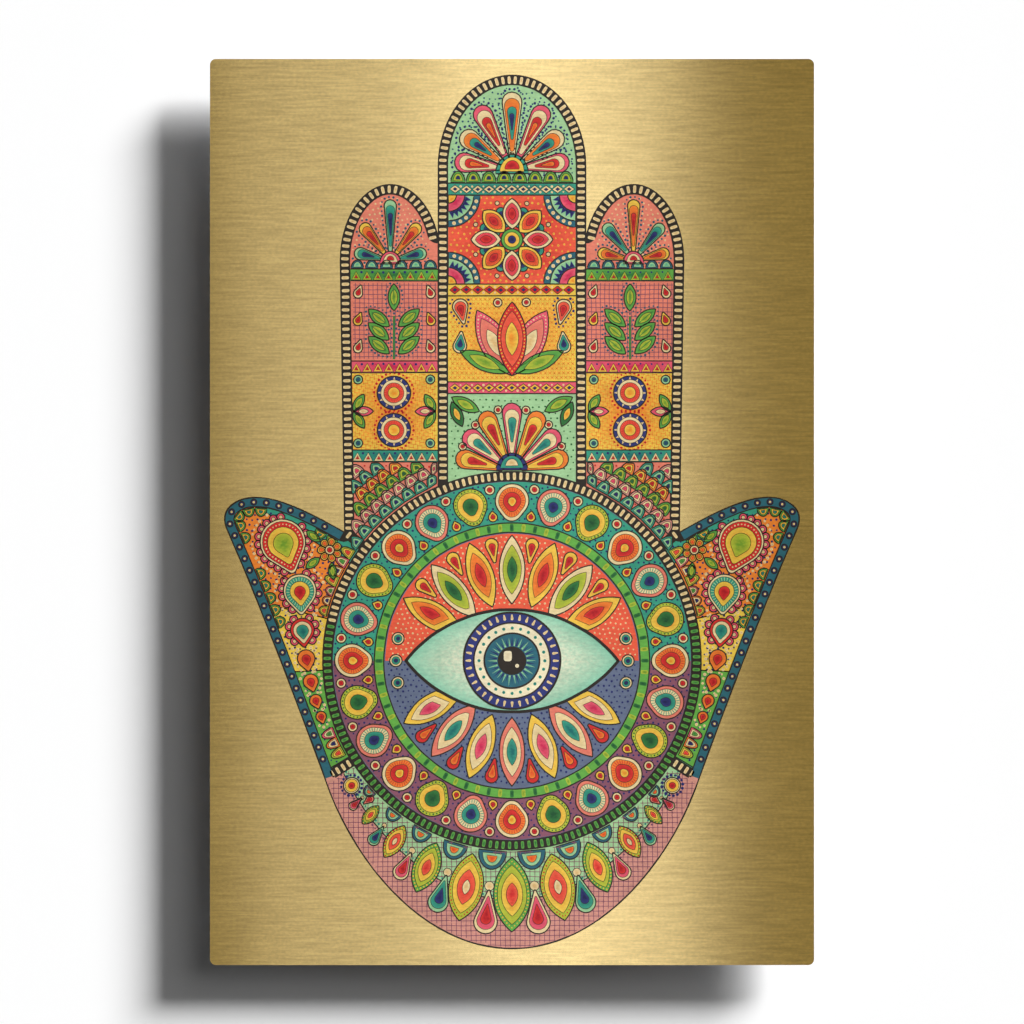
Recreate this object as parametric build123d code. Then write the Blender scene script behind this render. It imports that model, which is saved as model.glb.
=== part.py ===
"""Wall ornament: a traditional open hand with an eye, printed on a brushed gold sheet.

The sheet is a sandwich of two aluminium skins on a plastic core. It floats in front of the wall on a
mitred wooden frame, and hangs from two D-rings. X runs to the right, Z up and Y into the wall. The
origin lies on the wall, behind the middle of the sheet. Lengths are in millimetres.
"""

from build123d import *
import math
import os

# Sheet
panel_width = 406.4
panel_height = 609.6
panel_corner_radius = 4.0
skin_thickness = 0.3
core_thickness = 2.4

# Wooden float frame and the foam tape that carries the sheet
frame_inset = 50.8
rail_width = 28.0
rail_depth = 18.0
tape_width = 19.0
tape_thickness = 1.1
tape_end_gap = 6.0

# Corner braces and their countersunk screws
brace_leg = 50.0
brace_width = 15.0
brace_thickness = 1.9
brace_setback = 5.0
brace_tip_radius = 4.0
brace_first_hole = 20.0
brace_hole_pitch = 20.0
brace_screw_radius = 1.4
brace_screw_head_radius = 3.0
brace_screw_head_height = 1.6
brace_screw_length = 13.0

# D-ring hangers
hanger_drop = 95.0
strap_width = 12.0
strap_length = 37.0
strap_sheet = 0.9
strap_fold_gap = 0.1
strap_end_radius = 5.0
strap_first_hole = 20.5
strap_hole_pitch = 11.0
ring_wire_radius = 1.15
ring_play = 0.15
ring_inner_width = 15.0
ring_corner_radius = 2.4
ring_leg = 4.0
hanger_screw_radius = 1.5
hanger_screw_head_radius = 3.1
hanger_screw_head_height = 1.8
hanger_screw_length = 14.0

# Screw details that both kinds share
screw_gap = 0.03
screw_point = 3.0
recess_width = 0.9
recess_depth = 1.0
recess_reach_share = 0.62
head_edge_share = 0.4

# Rubber bumpers
bumper_radius = 6.35
bumper_height = 6.4
bumper_edge_radius = 1.5
bumper_from_corner = 66.0

# Print: one pass of ink, and the plain margin left round the hand
ink_pass = 0.05
print_margin = 9.3

# How far every cutter runs past the wall that it cuts
overrun = 1.0

# Outline of the hand, in shares of the hand's height, for the right half
middle_half_share = 0.085
middle_rise_share = 0.105
side_inner_share = 0.081
side_outer_share = 0.197
side_top_share = 0.375
side_rise_share = 0.088
crotch_shares = (0.192, -0.022)
thumb_top_shares = ((0.236, 0.003), (0.281, 0.026), (0.311, 0.0145))
thumb_tip_shares = ((0.325, 0.009), (0.334, -0.002), (0.3265, -0.020))
thumb_outer_shares = ((0.302, -0.075), (0.262, -0.175), (0.2145, -0.305))
palm_base_shares = ((0.186, -0.392), (0.106, -0.500))
hand_half_width_share = 0.3295
band_share = 0.012
spline_steps = 12

# Palm disc: its centre and radii in shares of the hand's height, the rest in shares of its radius
disc_centre_share = -0.170
disc_radius_share = 0.217
petal_hub_share = 0.79
petal_hub_width_share = 0.055
petal_tip_share = 0.845
petal_tip_width_share = 0.088
petal_count = 24
stripe_ring_shares = (0.675, 0.725)
ray_shares = (0.30, 0.66)
ray_width_share = 0.135
ray_angles = (30, 50, 70, 90, 110, 130, 150)
eye_length_share = 0.56
eye_height_share = 0.27
blue_ring_share = 0.255
white_ring_share = 0.20
iris_share = 0.145
pupil_share = 0.075

# Cross bands of the fingers, in shares of the hand's height
middle_band_shares = (0.142, 0.254, 0.369)
side_band_shares = (0.064, 0.166, 0.271)
cross_band_share = 0.0135

# Fans and crown: width in shares of the finger field's, height in shares of the arch above the band
fan_width_share = 0.9
fan_height_share = 0.92
fan_lift_share = 0.22
fan_tip_width_share = 0.17
fan_hub_width_share = 0.045
fan_hub_reach_share = 0.2
middle_fan_angles = (8, 35, 62, 90, 118, 145, 172)
side_fan_angles = (12, 51, 90, 129, 168)
crown_height_share = 0.88
crown_angles = (14, 39, 64, 90, 116, 141, 166)

# Motifs between two bands, in shares of the clear height between them
flower_reach_share = 0.46
flower_petal_width_share = 0.21
flower_heart_share = 0.12
flower_petal_count = 8
tulip_length_share = 0.86
tulip_width_share = 0.34
tulip_angles = (90, 62, 118)
sprig_base_share = 0.04
sprig_step_share = 0.17
sprig_leaf_share = 0.34
sprig_leaf_width_share = 0.15
sprig_leans = (40, 140)
sprig_pairs = 3
roundel_centre_shares = (0.26, 0.74)
roundel_share = 0.215

# Motifs of the thumbs and of the palm's base, in shares of the hand's height
thumb_drop_shares = (
    (0.2620, -0.0340, 0.0260),
    (0.2425, -0.0900, 0.0190),
    (0.2395, -0.1350, 0.0135),
    (0.2352, -0.1675, 0.0100),
    (0.2302, -0.1935, 0.0085),
    (0.2242, -0.2155, 0.0070),
    (0.2180, -0.2340, 0.0060),
)
thumb_drop_length_share = 1.25
thumb_drop_tip_share = 0.2
base_petal_angles = (0, 11.5, 22.5, 33, 42.5)
base_petal_shares = (0.085, 0.078, 0.061, 0.043, 0.028)
base_petal_gap_share = 0.008
base_petal_width_share = 0.5

# Places that follow from the sizes above
hand_height = min(
    panel_height - 2 * print_margin,
    (panel_width - 2 * print_margin) / (2 * hand_half_width_share),
)
disc_radius = disc_radius_share * hand_height
disc_centre = disc_centre_share * hand_height
band_width = band_share * hand_height
rail_back = bumper_height
rail_front = rail_back + rail_depth
tape_front = rail_front + tape_thickness
back_skin_front = tape_front + skin_thickness
core_front = back_skin_front + core_thickness
sheet_front = core_front + skin_thickness
frame_half_width = panel_width / 2 - frame_inset
frame_half_height = panel_height / 2 - frame_inset
ring_axis_height = strap_sheet + ring_play + ring_wire_radius
ring_axis_depth = rail_back - ring_axis_height
ring_axis_z = frame_half_height - hanger_drop
hanger_x = frame_half_width - rail_width / 2


def slab(sketch, back, thickness):
    """A flat sketch of X and Z made solid: from back to thickness further in front of the wall."""
    return extrude(Plane.XZ.offset(back) * sketch, amount=thickness)


def film(sketch, first_pass, passes):
    """A film of ink on the sheet's face, on top of first_pass earlier passes."""
    return slab(sketch, sheet_front + first_pass * ink_pass, passes * ink_pass)


def save(name, *solids):
    """Writes one node's solids to its own file."""
    loose = [s for item in solids for s in item.solids()]
    export_step(Compound(label=name, children=loose), f"parts/{name}.step")


def at_share(point):
    """A point given in shares of the hand's height, as a real place on the sheet."""
    return (point[0] * hand_height, point[1] * hand_height)


def drop(length, hub_radius, tip_radius):
    """The hull of two circles, one at the origin and one length along X: a drop, petal or capsule."""
    lean = math.asin((hub_radius - tip_radius) / length)
    along, across = math.sin(lean), math.cos(lean)
    hub = [(hub_radius * along, side * hub_radius * across) for side in (1, -1)]
    tip = [(length + tip_radius * along, side * tip_radius * across) for side in (1, -1)]
    edges = [
        Line(hub[0], tip[0]),
        ThreePointArc(tip[0], (length + tip_radius, 0), tip[1]),
        Line(tip[1], hub[1]),
        ThreePointArc(hub[1], (-hub_radius, 0), hub[0]),
    ]
    return make_face(Wire(edges))


def leaf(length, width):
    """A pointed leaf along X from the origin, bounded by two equal arcs."""
    ends = ((0, 0), (length, 0))
    upper = ThreePointArc(ends[0], (length / 2, width / 2), ends[1])
    lower = ThreePointArc(ends[1], (length / 2, -width / 2), ends[0])
    return make_face(Wire([upper, lower]))


def placed(shape, x, z, angle, start=0):
    """A motif moved start along its own X, turned by angle and set down at x, z."""
    return Pos(x, z) * (Rot(0, 0, angle) * (Pos(start, 0) * shape))


def hand_outline():
    """The open hand: three arched fingers, two flared thumbs and a round palm base."""
    size = hand_height
    middle = middle_half_share * size
    top = size / 2
    middle_rise = middle_rise_share * size
    inner, outer = side_inner_share * size, side_outer_share * size
    centre, half = (inner + outer) / 2, (outer - inner) / 2
    side_rise = side_rise_share * size
    side_spring = side_top_share * size - side_rise
    crossing = math.degrees(math.acos((middle - centre) / half))
    meet = side_spring + side_rise * math.sin(math.radians(crossing))
    crotch = at_share(crotch_shares)
    thumb_top = [at_share(p) for p in thumb_top_shares]
    thumb_tip = [at_share(p) for p in thumb_tip_shares]
    thumb_outer = [at_share(p) for p in thumb_outer_shares]
    palm_base = [at_share(p) for p in palm_base_shares]
    spring = top - middle_rise
    quarter = 90
    right = [
        EllipticalCenterArc((0, spring), middle, middle_rise, start_angle=0, arc_size=quarter),
        Line((middle, spring), (middle, meet)),
        EllipticalCenterArc((centre, side_spring), half, side_rise, start_angle=0, arc_size=crossing),
        Line((outer, side_spring), crotch),
        Bezier(crotch, *thumb_top),
        Bezier(thumb_top[-1], *thumb_tip),
        Bezier(thumb_tip[-1], *thumb_outer),
        Bezier(thumb_outer[-1], *palm_base, (0, -top)),
        Line((0, -top), (0, top)),
    ]
    half_hand = make_face(Wire(right))
    return half_hand + mirror(half_hand, about=Plane.YZ)


def dividers():
    """The black strips that part the fingers, the thumbs and the palm base from one another."""
    crotch = at_share(crotch_shares)
    foot = at_share(thumb_outer_shares[-1])
    strip_x = middle_half_share * hand_height - band_width / 2
    finger_foot = disc_centre + math.sqrt((disc_radius - band_width) ** 2 - strip_x**2)
    finger_head = side_top_share * hand_height
    strips = []
    for side in (-1, 1):
        upright = Rectangle(band_width, finger_head - finger_foot)
        strips.append(Pos(side * strip_x, (finger_head + finger_foot) / 2) * upright)
        for end_x, end_z in (crotch, foot):
            reach = math.hypot(end_x, end_z - disc_centre)
            angle = math.degrees(math.atan2(end_z - disc_centre, side * end_x))
            inner = disc_radius - band_width / 2
            strip = Pos((reach + inner) / 2, 0) * Rectangle(reach - inner, band_width)
            strips.append(placed(strip, 0, disc_centre, angle))
    return strips


def shared_end(edge, other):
    """The end of an edge that lies on an end of another edge."""
    return min(
        (edge @ 0, edge @ 1),
        key=lambda end: min((end - other @ 0).length, (end - other @ 1).length),
    )


def drawn_in(shape, distance):
    """A flat shape made smaller by distance all round, with splines for its moved curves."""
    ordered = offset(shape, -distance).face().outer_wire().order_edges()
    corners = [shared_end(edge, ordered[number - 1]) for number, edge in enumerate(ordered)]
    edges = []
    for number, edge in enumerate(ordered):
        start, end = corners[number], corners[(number + 1) % len(corners)]
        points = [edge @ (step / spline_steps) for step in range(1, spline_steps)]
        tangents = [edge % 0, edge % 1]
        if (edge @ 0 - start).length > (edge @ 1 - start).length:
            points.reverse()
            tangents = [-tangents[1], -tangents[0]]
        if edge.geom_type == GeomType.LINE:
            edges.append(Line(start, end))
        else:
            edges.append(Spline(start, *points, end, tangents=tangents))
    return make_face(Wire(edges))


def fields_of(hand):
    """The coloured fields inside the black border, by name."""
    left_over = drawn_in(hand, band_width) - Pos(0, disc_centre) * Circle(disc_radius)
    for strip in dividers():
        left_over -= strip
    named = {}
    for face in left_over.faces():
        middle = face.center()
        side = "left" if middle.X < 0 else "right"
        if abs(middle.X) < band_width:
            name = "middle_finger" if middle.Y > disc_centre else "palm_base"
        elif abs(middle.X) > side_outer_share * hand_height:
            name = f"{side}_thumb"
        else:
            name = f"{side}_finger"
        named[name] = face
    return named


def fan(x, z, half_width, rise, angles):
    """Petals spread from one point, as long as an arch of half_width and rise lets them be."""
    petals = []
    start = fan_hub_reach_share * half_width
    hub, tip = fan_hub_width_share * half_width, fan_tip_width_share * half_width
    for angle in angles:
        turn = math.radians(angle)
        reach = 1 / math.hypot(math.cos(turn) / half_width, math.sin(turn) / rise)
        petals.append(placed(drop(reach - start - tip, hub, tip), x, z, angle, start))
    return petals


def arch_fan(x, band_height, half_width, top, angles):
    """A fan that fills a finger's arch, from a cross band up to the arch's top."""
    foot = band_height + cross_band_share * hand_height / 2 + fan_lift_share * half_width
    return fan(x, foot, fan_width_share * half_width, fan_height_share * (top - foot), angles)


def clear_height(band_heights, number):
    """The foot and height of the clear space between one cross band and the next."""
    foot = (band_heights[number] + cross_band_share / 2) * hand_height
    head = (band_heights[number + 1] - cross_band_share / 2) * hand_height
    return foot, head - foot


def hand_print():
    """Every film of ink: the white base, border, fields, and the main motifs on them."""
    hand = hand_outline()
    fields = fields_of(hand)
    disc_field = Pos(0, disc_centre) * Circle(disc_radius - band_width)
    border = hand - disc_field
    for face in fields.values():
        border -= face
    save("ink_white_base", film(hand, 0, 1))
    save("ink_border", film(border, 1, 3))
    for name, face in fields.items():
        save(f"ink_{name}_field", film(face, 1, 1))
    save("ink_palm_disc", film(disc_field, 1, 1))
    palm_disc_motifs()
    middle_finger_motifs(fields["middle_finger"])
    for name, side in (("left", -1), ("right", 1)):
        side_finger_motifs(name, side, fields[f"{name}_finger"])
        thumb_motifs(name, side)
    palm_base_motifs()


def palm_disc_motifs():
    """The round mandala in the palm, with the eye at its middle."""

    def ring(outer_share, inner_share=0):
        shape = Circle(outer_share * disc_radius)
        if inner_share:
            shape -= Circle(inner_share * disc_radius)
        return Pos(0, disc_centre) * shape

    step = 360 / petal_count
    petal = drop(
        (petal_tip_share - petal_hub_share) * disc_radius,
        petal_hub_width_share * disc_radius,
        petal_tip_width_share * disc_radius,
    )
    petals = [
        placed(petal, 0, disc_centre, step * turn, petal_hub_share * disc_radius)
        for turn in range(petal_count)
    ]
    save("ink_palm_petals", *[film(p, 2, 1) for p in petals])
    save("ink_palm_stripe_ring", film(ring(*reversed(stripe_ring_shares)), 2, 1))
    length = (ray_shares[1] - ray_shares[0]) * disc_radius
    ray = leaf(length, ray_width_share * disc_radius)
    eye_white = placed(
        leaf(2 * eye_length_share * disc_radius, 2 * eye_height_share * disc_radius),
        -eye_length_share * disc_radius,
        disc_centre,
        0,
    )
    rays = []
    for angle in (*ray_angles, *(-a for a in ray_angles)):
        rays.append(
            placed(ray, 0, disc_centre, angle, ray_shares[0] * disc_radius) - eye_white
        )
    save("ink_palm_rays", *[film(r, 2, 1) for r in rays])
    save("ink_eye_white", film(eye_white, 2, 1))
    save("ink_eye_blue_ring", film(ring(blue_ring_share), 3, 1))
    save("ink_eye_pale_ring", film(ring(white_ring_share), 4, 1))
    save("ink_eye_iris", film(ring(iris_share), 5, 1))
    save("ink_eye_pupil", film(ring(pupil_share), 6, 1))


def cross_bands(x, width, heights, field):
    """The bands that part one finger's motifs, cut to its field."""
    band = Rectangle(width, cross_band_share * hand_height)
    return [Pos(x, height * hand_height) * band & field for height in heights]


def middle_finger_motifs(field):
    """The stack on the middle finger: crown, tulip, flower and fan, parted by cross bands."""
    size = hand_height
    column = middle_half_share * size - band_width
    bands = cross_bands(0, 2 * column, middle_band_shares, field)
    save("ink_middle_finger_bands", *[film(b, 2, 1) for b in bands])
    arch_top = size / 2 - band_width
    top_band = middle_band_shares[-1] * size
    petals = arch_fan(0, top_band, column, arch_top, middle_fan_angles)
    save("ink_middle_finger_fan", *[film(p, 2, 1) for p in petals])
    crown_foot = disc_centre + disc_radius
    rise = crown_height_share * (
        (middle_band_shares[0] - cross_band_share / 2) * size - crown_foot
    )
    spread = fan(0, crown_foot, fan_width_share * column, rise, crown_angles)
    save("ink_middle_finger_crown", *[film(p, 2, 1) for p in spread])
    foot, height = clear_height(middle_band_shares, 1)
    heart_radius = flower_heart_share * height
    petal = leaf(flower_reach_share * height - heart_radius, flower_petal_width_share * height)
    step = 360 / flower_petal_count
    flower = [Pos(0, foot + height / 2) * Circle(heart_radius)]
    for turn in range(flower_petal_count):
        flower.append(placed(petal, 0, foot + height / 2, step * turn, heart_radius))
    save("ink_middle_finger_flower", *[film(p, 2, 1) for p in flower])
    foot, height = clear_height(middle_band_shares, 0)
    bud = leaf(tulip_length_share * height, tulip_width_share * height)
    base = foot + (1 - tulip_length_share) * height / 2
    tulip = [placed(bud, 0, base, angle) for angle in tulip_angles]
    outer_buds = [petal - tulip[0] for petal in tulip[1:]]
    save("ink_middle_finger_tulip", *[film(p, 2, 1) for p in (tulip[0], *outer_buds)])


def side_finger_motifs(name, side, field):
    """The stack on one side finger: roundels, sprig and fan, parted by cross bands."""
    size = hand_height
    column = (side_outer_share - middle_half_share) * size / 2 - band_width / 2
    x = side * (middle_half_share * size + column)
    bands = cross_bands(x, 2 * column, side_band_shares, field)
    save(f"ink_{name}_finger_bands", *[film(b, 2, 1) for b in bands])
    arch_x = side * (side_inner_share + side_outer_share) * size / 2
    arch_half = (side_outer_share - side_inner_share) * size / 2 - band_width
    arch_top = side_top_share * size - band_width
    top_band = side_band_shares[-1] * size
    petals = arch_fan(arch_x, top_band, arch_half, arch_top, side_fan_angles)
    save(f"ink_{name}_finger_fan", *[film(p, 2, 1) for p in petals])
    foot, height = clear_height(side_band_shares, 1)
    sprig_leaf = leaf(sprig_leaf_share * height, sprig_leaf_width_share * height)
    stalk_gap = sprig_leaf_width_share * height / 2
    leaves = []
    for pair in range(sprig_pairs + 1):
        z = foot + (sprig_base_share + pair * sprig_step_share) * height
        leans = sprig_leans if pair < sprig_pairs else (90,)
        leaves += [placed(sprig_leaf, x, z, lean, stalk_gap) for lean in leans]
    save(f"ink_{name}_finger_sprig", *[film(p, 2, 1) for p in leaves])
    foot, height = clear_height(side_band_shares, 0)
    roundel = Circle(roundel_share * height)
    roundels = [Pos(x, foot + share * height) * roundel for share in roundel_centre_shares]
    save(f"ink_{name}_finger_roundels", *[film(r, 2, 1) for r in roundels])


def thumb_motifs(name, side):
    """A string of drops down one thumb, each with its tip towards the next."""
    places = [(side * at_share(p)[0], at_share(p)[1]) for p in thumb_drop_shares]
    drops = []
    lean = 0
    for number, (x, z) in enumerate(places):
        radius = thumb_drop_shares[number][-1] * hand_height
        if number + 1 < len(places):
            next_x, next_z = places[number + 1]
            lean = math.degrees(math.atan2(next_z - z, next_x - x))
        bead = drop(thumb_drop_length_share * radius, radius, thumb_drop_tip_share * radius)
        drops.append(placed(bead, x, z, lean))
    save(f"ink_{name}_thumb_drops", *[film(d, 2, 1) for d in drops])


def palm_base_motifs():
    """Petals that stand out from the disc round the foot of the palm."""
    start = disc_radius + base_petal_gap_share * hand_height
    petals = []
    for angle, share in zip(base_petal_angles, base_petal_shares):
        length = share * hand_height
        petal = leaf(length, base_petal_width_share * length)
        for turn in sorted({-angle, angle}):
            petals.append(placed(petal, 0, disc_centre, turn - 90, start))
    save("ink_palm_base_petals", *[film(p, 2, 1) for p in petals])


def sheet():
    """The sandwich sheet: gold front skin, plastic core and plain back skin."""
    outline = RectangleRounded(panel_width, panel_height, panel_corner_radius)
    save("back_skin", slab(outline, tape_front, skin_thickness))
    save("core_sheet", slab(outline, back_skin_front, core_thickness))
    save("face_skin", slab(outline, core_front, skin_thickness))


def screw(length, shank_radius, head_radius, head_height, countersunk):
    """A cross-recess wood screw along Z. Its head's underside is at the origin if the head is a pan
    head, and its top is there if it is countersunk. The shank points down."""
    top = 0 if countersunk else head_height
    edge = head_edge_share * head_height
    if countersunk:
        head = Pos(0, 0, -head_height / 2) * Cone(shank_radius, head_radius, head_height)
        shank_top = -head_height
    else:
        head = Pos(0, 0, head_height / 2) * Cylinder(head_radius, head_height)
        head = fillet(head.edges().group_by(Axis.Z)[-1], edge)
        shank_top = 0
    straight = length - head_height * countersunk - screw_point
    shank = Pos(0, 0, shank_top - straight / 2) * Cylinder(shank_radius, straight)
    point = Pos(0, 0, shank_top - straight - screw_point / 2) * Cone(
        0, shank_radius, screw_point
    )
    body = head + shank + point
    slot = Box(2 * recess_reach_share * head_radius, recess_width, 2 * recess_depth)
    for turn in (0, 90):
        body -= Pos(0, 0, top) * (Rot(0, 0, turn) * slot)
    return body


def facing_wall(shape, x, distance, z):
    """A shape modelled along Z, turned so that its top faces the wall, and set at x, z."""
    return Pos(x, -distance, z) * (Rot(-90, 0, 0) * shape)


def pilot(x, distance, z, radius, length):
    """The hole that a screw's shank fills, open towards the wall."""
    hole = Pos(0, 0, -length / 2) * Cylinder(radius + screw_gap, length)
    return facing_wall(hole, x, distance, z)


def brace_holes():
    """Centres of one brace's holes, from the corner of the L where its two legs meet."""
    along = [brace_first_hole + n * brace_hole_pitch for n in range(2)]
    middle = brace_width / 2
    return [(d, middle) for d in along] + [(middle, d) for d in along]


def corners():
    """Each frame corner: its name, and the signs that point from the middle to it."""
    for row, up in (("top", 1), ("bottom", -1)):
        for column, across in (("left", -1), ("right", 1)):
            yield f"{row}_{column}", across, up


def brace_place(across, up, point):
    """A point of a brace, from the corner of its L, as x and z on the back of the frame."""
    x = across * (frame_half_width - brace_setback - point[0])
    z = up * (frame_half_height - brace_setback - point[1])
    return x, z


def hanger_holes():
    """Heights of the two screws of a hanger strap."""
    first = ring_axis_z - strap_first_hole
    return (first, first - strap_hole_pitch)


def frame_rails():
    """Four mitred wooden rails with the screws' pilot holes, and their strips of foam tape."""
    outer_x, outer_z = frame_half_width, frame_half_height
    inner_x, inner_z = outer_x - rail_width, outer_z - rail_width
    holes = []
    brace_depth = rail_back + brace_screw_length - brace_thickness
    for _, across, up in corners():
        for point in brace_holes():
            x, z = brace_place(across, up, point)
            holes.append(pilot(x, rail_back, z, brace_screw_radius, brace_depth - rail_back))
    hanger_reach = hanger_screw_length - 2 * strap_sheet - strap_fold_gap
    for side in (-1, 1):
        for z in hanger_holes():
            holes.append(
                pilot(side * hanger_x, rail_back, z, hanger_screw_radius, hanger_reach)
            )
    shapes = {
        "top": ((-outer_x, outer_z), (outer_x, outer_z), (inner_x, inner_z), (-inner_x, inner_z)),
        "right": ((outer_x, outer_z), (outer_x, -outer_z), (inner_x, -inner_z), (inner_x, inner_z)),
    }
    shapes["bottom"] = [(x, -z) for x, z in shapes["top"]]
    shapes["left"] = [(-x, z) for x, z in shapes["right"]]
    for name, points in shapes.items():
        rail = slab(make_face(Wire.make_polygon([(x, z) for x, z in points])), rail_back, rail_depth)
        for hole in holes:
            rail -= hole
        save(f"frame_rail_{name}", rail)
    tape_x, tape_z = outer_x - rail_width / 2, outer_z - rail_width / 2
    long_tape = 2 * (inner_z - tape_end_gap)
    short_tape = 2 * (outer_x - tape_end_gap)
    for name, side in (("top", 1), ("bottom", -1)):
        strip = Pos(0, side * tape_z) * Rectangle(short_tape, tape_width)
        save(f"foam_tape_{name}", slab(strip, rail_front, tape_thickness))
    for name, side in (("left", -1), ("right", 1)):
        strip = Pos(side * tape_x, 0) * Rectangle(tape_width, long_tape)
        save(f"foam_tape_{name}", slab(strip, rail_front, tape_thickness))


def corner_braces():
    """Flat L plates that hold the mitres shut, and the four countersunk screws in each."""
    screws = []
    back = rail_back - brace_thickness
    for name, across, up in corners():
        long_leg = Pos(brace_leg / 2, brace_width / 2) * Rectangle(brace_leg, brace_width)
        tall_leg = Pos(brace_width / 2, brace_leg / 2) * Rectangle(brace_width, brace_leg)
        plate = long_leg + tall_leg
        tips = [
            v
            for v in plate.vertices()
            if max(v.X, v.Y) > brace_leg - brace_width / 2 or v.X + v.Y < brace_width / 2
        ]
        plate = fillet(tips, brace_tip_radius)
        if across > 0:
            plate = mirror(plate, about=Plane.YZ)
        if up > 0:
            plate = mirror(plate, about=Plane.XZ)
        x, z = brace_place(across, up, (0, 0))
        body = slab(Pos(x, z) * plate, back, brace_thickness)
        for point in brace_holes():
            hole_x, hole_z = brace_place(across, up, point)
            body -= pilot(hole_x, back, hole_z, brace_screw_radius, brace_thickness + overrun)
            sink = Pos(0, 0, -brace_screw_head_height / 2) * Cone(
                brace_screw_radius + screw_gap,
                brace_screw_head_radius + screw_gap,
                brace_screw_head_height,
            )
            body -= facing_wall(sink, hole_x, back, hole_z)
            one = screw(
                brace_screw_length,
                brace_screw_radius,
                brace_screw_head_radius,
                brace_screw_head_height,
                True,
            )
            screws.append(facing_wall(one, hole_x, back, hole_z))
        save(f"corner_brace_{name}", body)
    save("brace_screws", *screws)


def hanger_strap():
    """A strap folded round the ring's bar, drawn from the side and made as wide as it is. The bar's
    axis is the origin, the strap hangs down from it and the wall lies along +Y."""
    inner = ring_wire_radius + ring_play
    outer = inner + strap_sheet
    leaves = 2 * strap_sheet + strap_fold_gap
    side = Pos(leaves / 2 - ring_axis_height, -strap_length / 2) * Rectangle(leaves, strap_length)
    seam_y = strap_sheet - ring_axis_height + strap_fold_gap / 2
    seam = Pos(seam_y, -strap_length / 2) * Rectangle(strap_fold_gap, strap_length + overrun)
    side = side - seam + Circle(outer) - Circle(inner)
    side -= Pos(seam_y, -outer) * Rectangle(strap_fold_gap, 2 * (outer - inner))
    body = extrude(Plane.YZ * side, amount=strap_width / 2, both=True)
    ends = [e for e in body.edges().filter_by(Axis.Y) if e.center().Z < -strap_length + overrun]
    body = fillet(ends, strap_end_radius)
    for depth in (strap_first_hole, strap_first_hole + strap_hole_pitch):
        hole = Cylinder(hanger_screw_radius + screw_gap, 2 * (leaves + ring_axis_height))
        body -= Pos(0, 0, -depth) * (Rot(90, 0, 0) * hole)
    return body


def hanger_ring():
    """A D of round wire in the XZ plane, with its straight bar along X through the origin."""
    half = ring_inner_width / 2 + ring_wire_radius
    bend = ring_corner_radius
    path = Wire(
        [
            Line((bend - half, 0), (half - bend, 0)),
            RadiusArc((half - bend, 0), (half, bend), -bend),
            Line((half, bend), (half, bend + ring_leg)),
            ThreePointArc(
                (half, bend + ring_leg), (0, bend + ring_leg + half), (-half, bend + ring_leg)
            ),
            Line((-half, bend + ring_leg), (-half, bend)),
            RadiusArc((-half, bend), (bend - half, 0), -bend),
        ]
    )
    path = Plane.XZ * path
    section = Plane.YZ * Circle(ring_wire_radius)
    return sweep(section, path=path)


def hangers():
    """Both D-ring hangers, with the pan-head screws that hold their straps."""
    head_seat = rail_back - 2 * strap_sheet - strap_fold_gap
    screws = []
    for name, side in (("left", -1), ("right", 1)):
        place = Pos(side * hanger_x, -ring_axis_depth, ring_axis_z)
        save(f"hanger_strap_{name}", place * hanger_strap())
        save(f"hanger_ring_{name}", place * hanger_ring())
        for z in hanger_holes():
            one = screw(
                hanger_screw_length,
                hanger_screw_radius,
                hanger_screw_head_radius,
                hanger_screw_head_height,
                False,
            )
            screws.append(facing_wall(one, side * hanger_x, head_seat, z))
    save("hanger_screws", *screws)


def bumpers():
    """Rubber feet on the top and bottom rails, which keep the sheet parallel to the wall."""
    foot = Pos(0, 0, -bumper_height / 2) * Cylinder(bumper_radius, bumper_height)
    foot = fillet(foot.edges().group_by(Axis.Z)[-1], bumper_edge_radius)
    for name, across, up in corners():
        x = across * (frame_half_width - bumper_from_corner)
        z = up * (frame_half_height - rail_width / 2)
        save(f"bumper_{name}", facing_wall(foot, x, 0, z))


os.makedirs("parts", exist_ok=True)
hand_print()
sheet()
frame_rails()
corner_braces()
hangers()
bumpers()
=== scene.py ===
"""Dresses the wall ornament: its brushed gold sheet, the hand printed on it and the frame behind it.

The drawing is worked out in millimetres, with x to the right and z up on the sheet's face, and
becomes metres where a mesh is made. Each colour of ink is a thin closed film with its own height.
"""

from __future__ import annotations

import logging
import math
from dataclasses import dataclass, field
from enum import Enum
from functools import partial
from typing import Callable, Sequence

import bpy
import numpy as np
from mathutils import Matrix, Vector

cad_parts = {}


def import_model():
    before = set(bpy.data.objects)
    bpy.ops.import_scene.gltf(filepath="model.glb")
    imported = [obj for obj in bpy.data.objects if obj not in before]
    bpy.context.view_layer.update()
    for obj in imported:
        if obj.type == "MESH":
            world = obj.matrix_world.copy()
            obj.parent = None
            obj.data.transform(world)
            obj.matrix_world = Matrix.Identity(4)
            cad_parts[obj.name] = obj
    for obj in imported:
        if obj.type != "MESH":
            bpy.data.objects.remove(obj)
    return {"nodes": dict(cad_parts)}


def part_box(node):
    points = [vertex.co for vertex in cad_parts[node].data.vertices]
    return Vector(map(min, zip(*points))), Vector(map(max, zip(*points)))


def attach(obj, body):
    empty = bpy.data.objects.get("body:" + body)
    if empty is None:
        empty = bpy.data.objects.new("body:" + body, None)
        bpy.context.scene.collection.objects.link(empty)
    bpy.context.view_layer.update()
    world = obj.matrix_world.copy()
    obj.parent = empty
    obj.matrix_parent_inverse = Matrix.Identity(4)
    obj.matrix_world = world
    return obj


LOG = logging.getLogger("ornament")
METRE = 0.001
GROUND, MOTIF, RIM, IRIS, GLINT = 0, 4, 8, 17, 21
WEAVE = 3.3
MIRROR = np.array((-1.0, 1.0))

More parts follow.
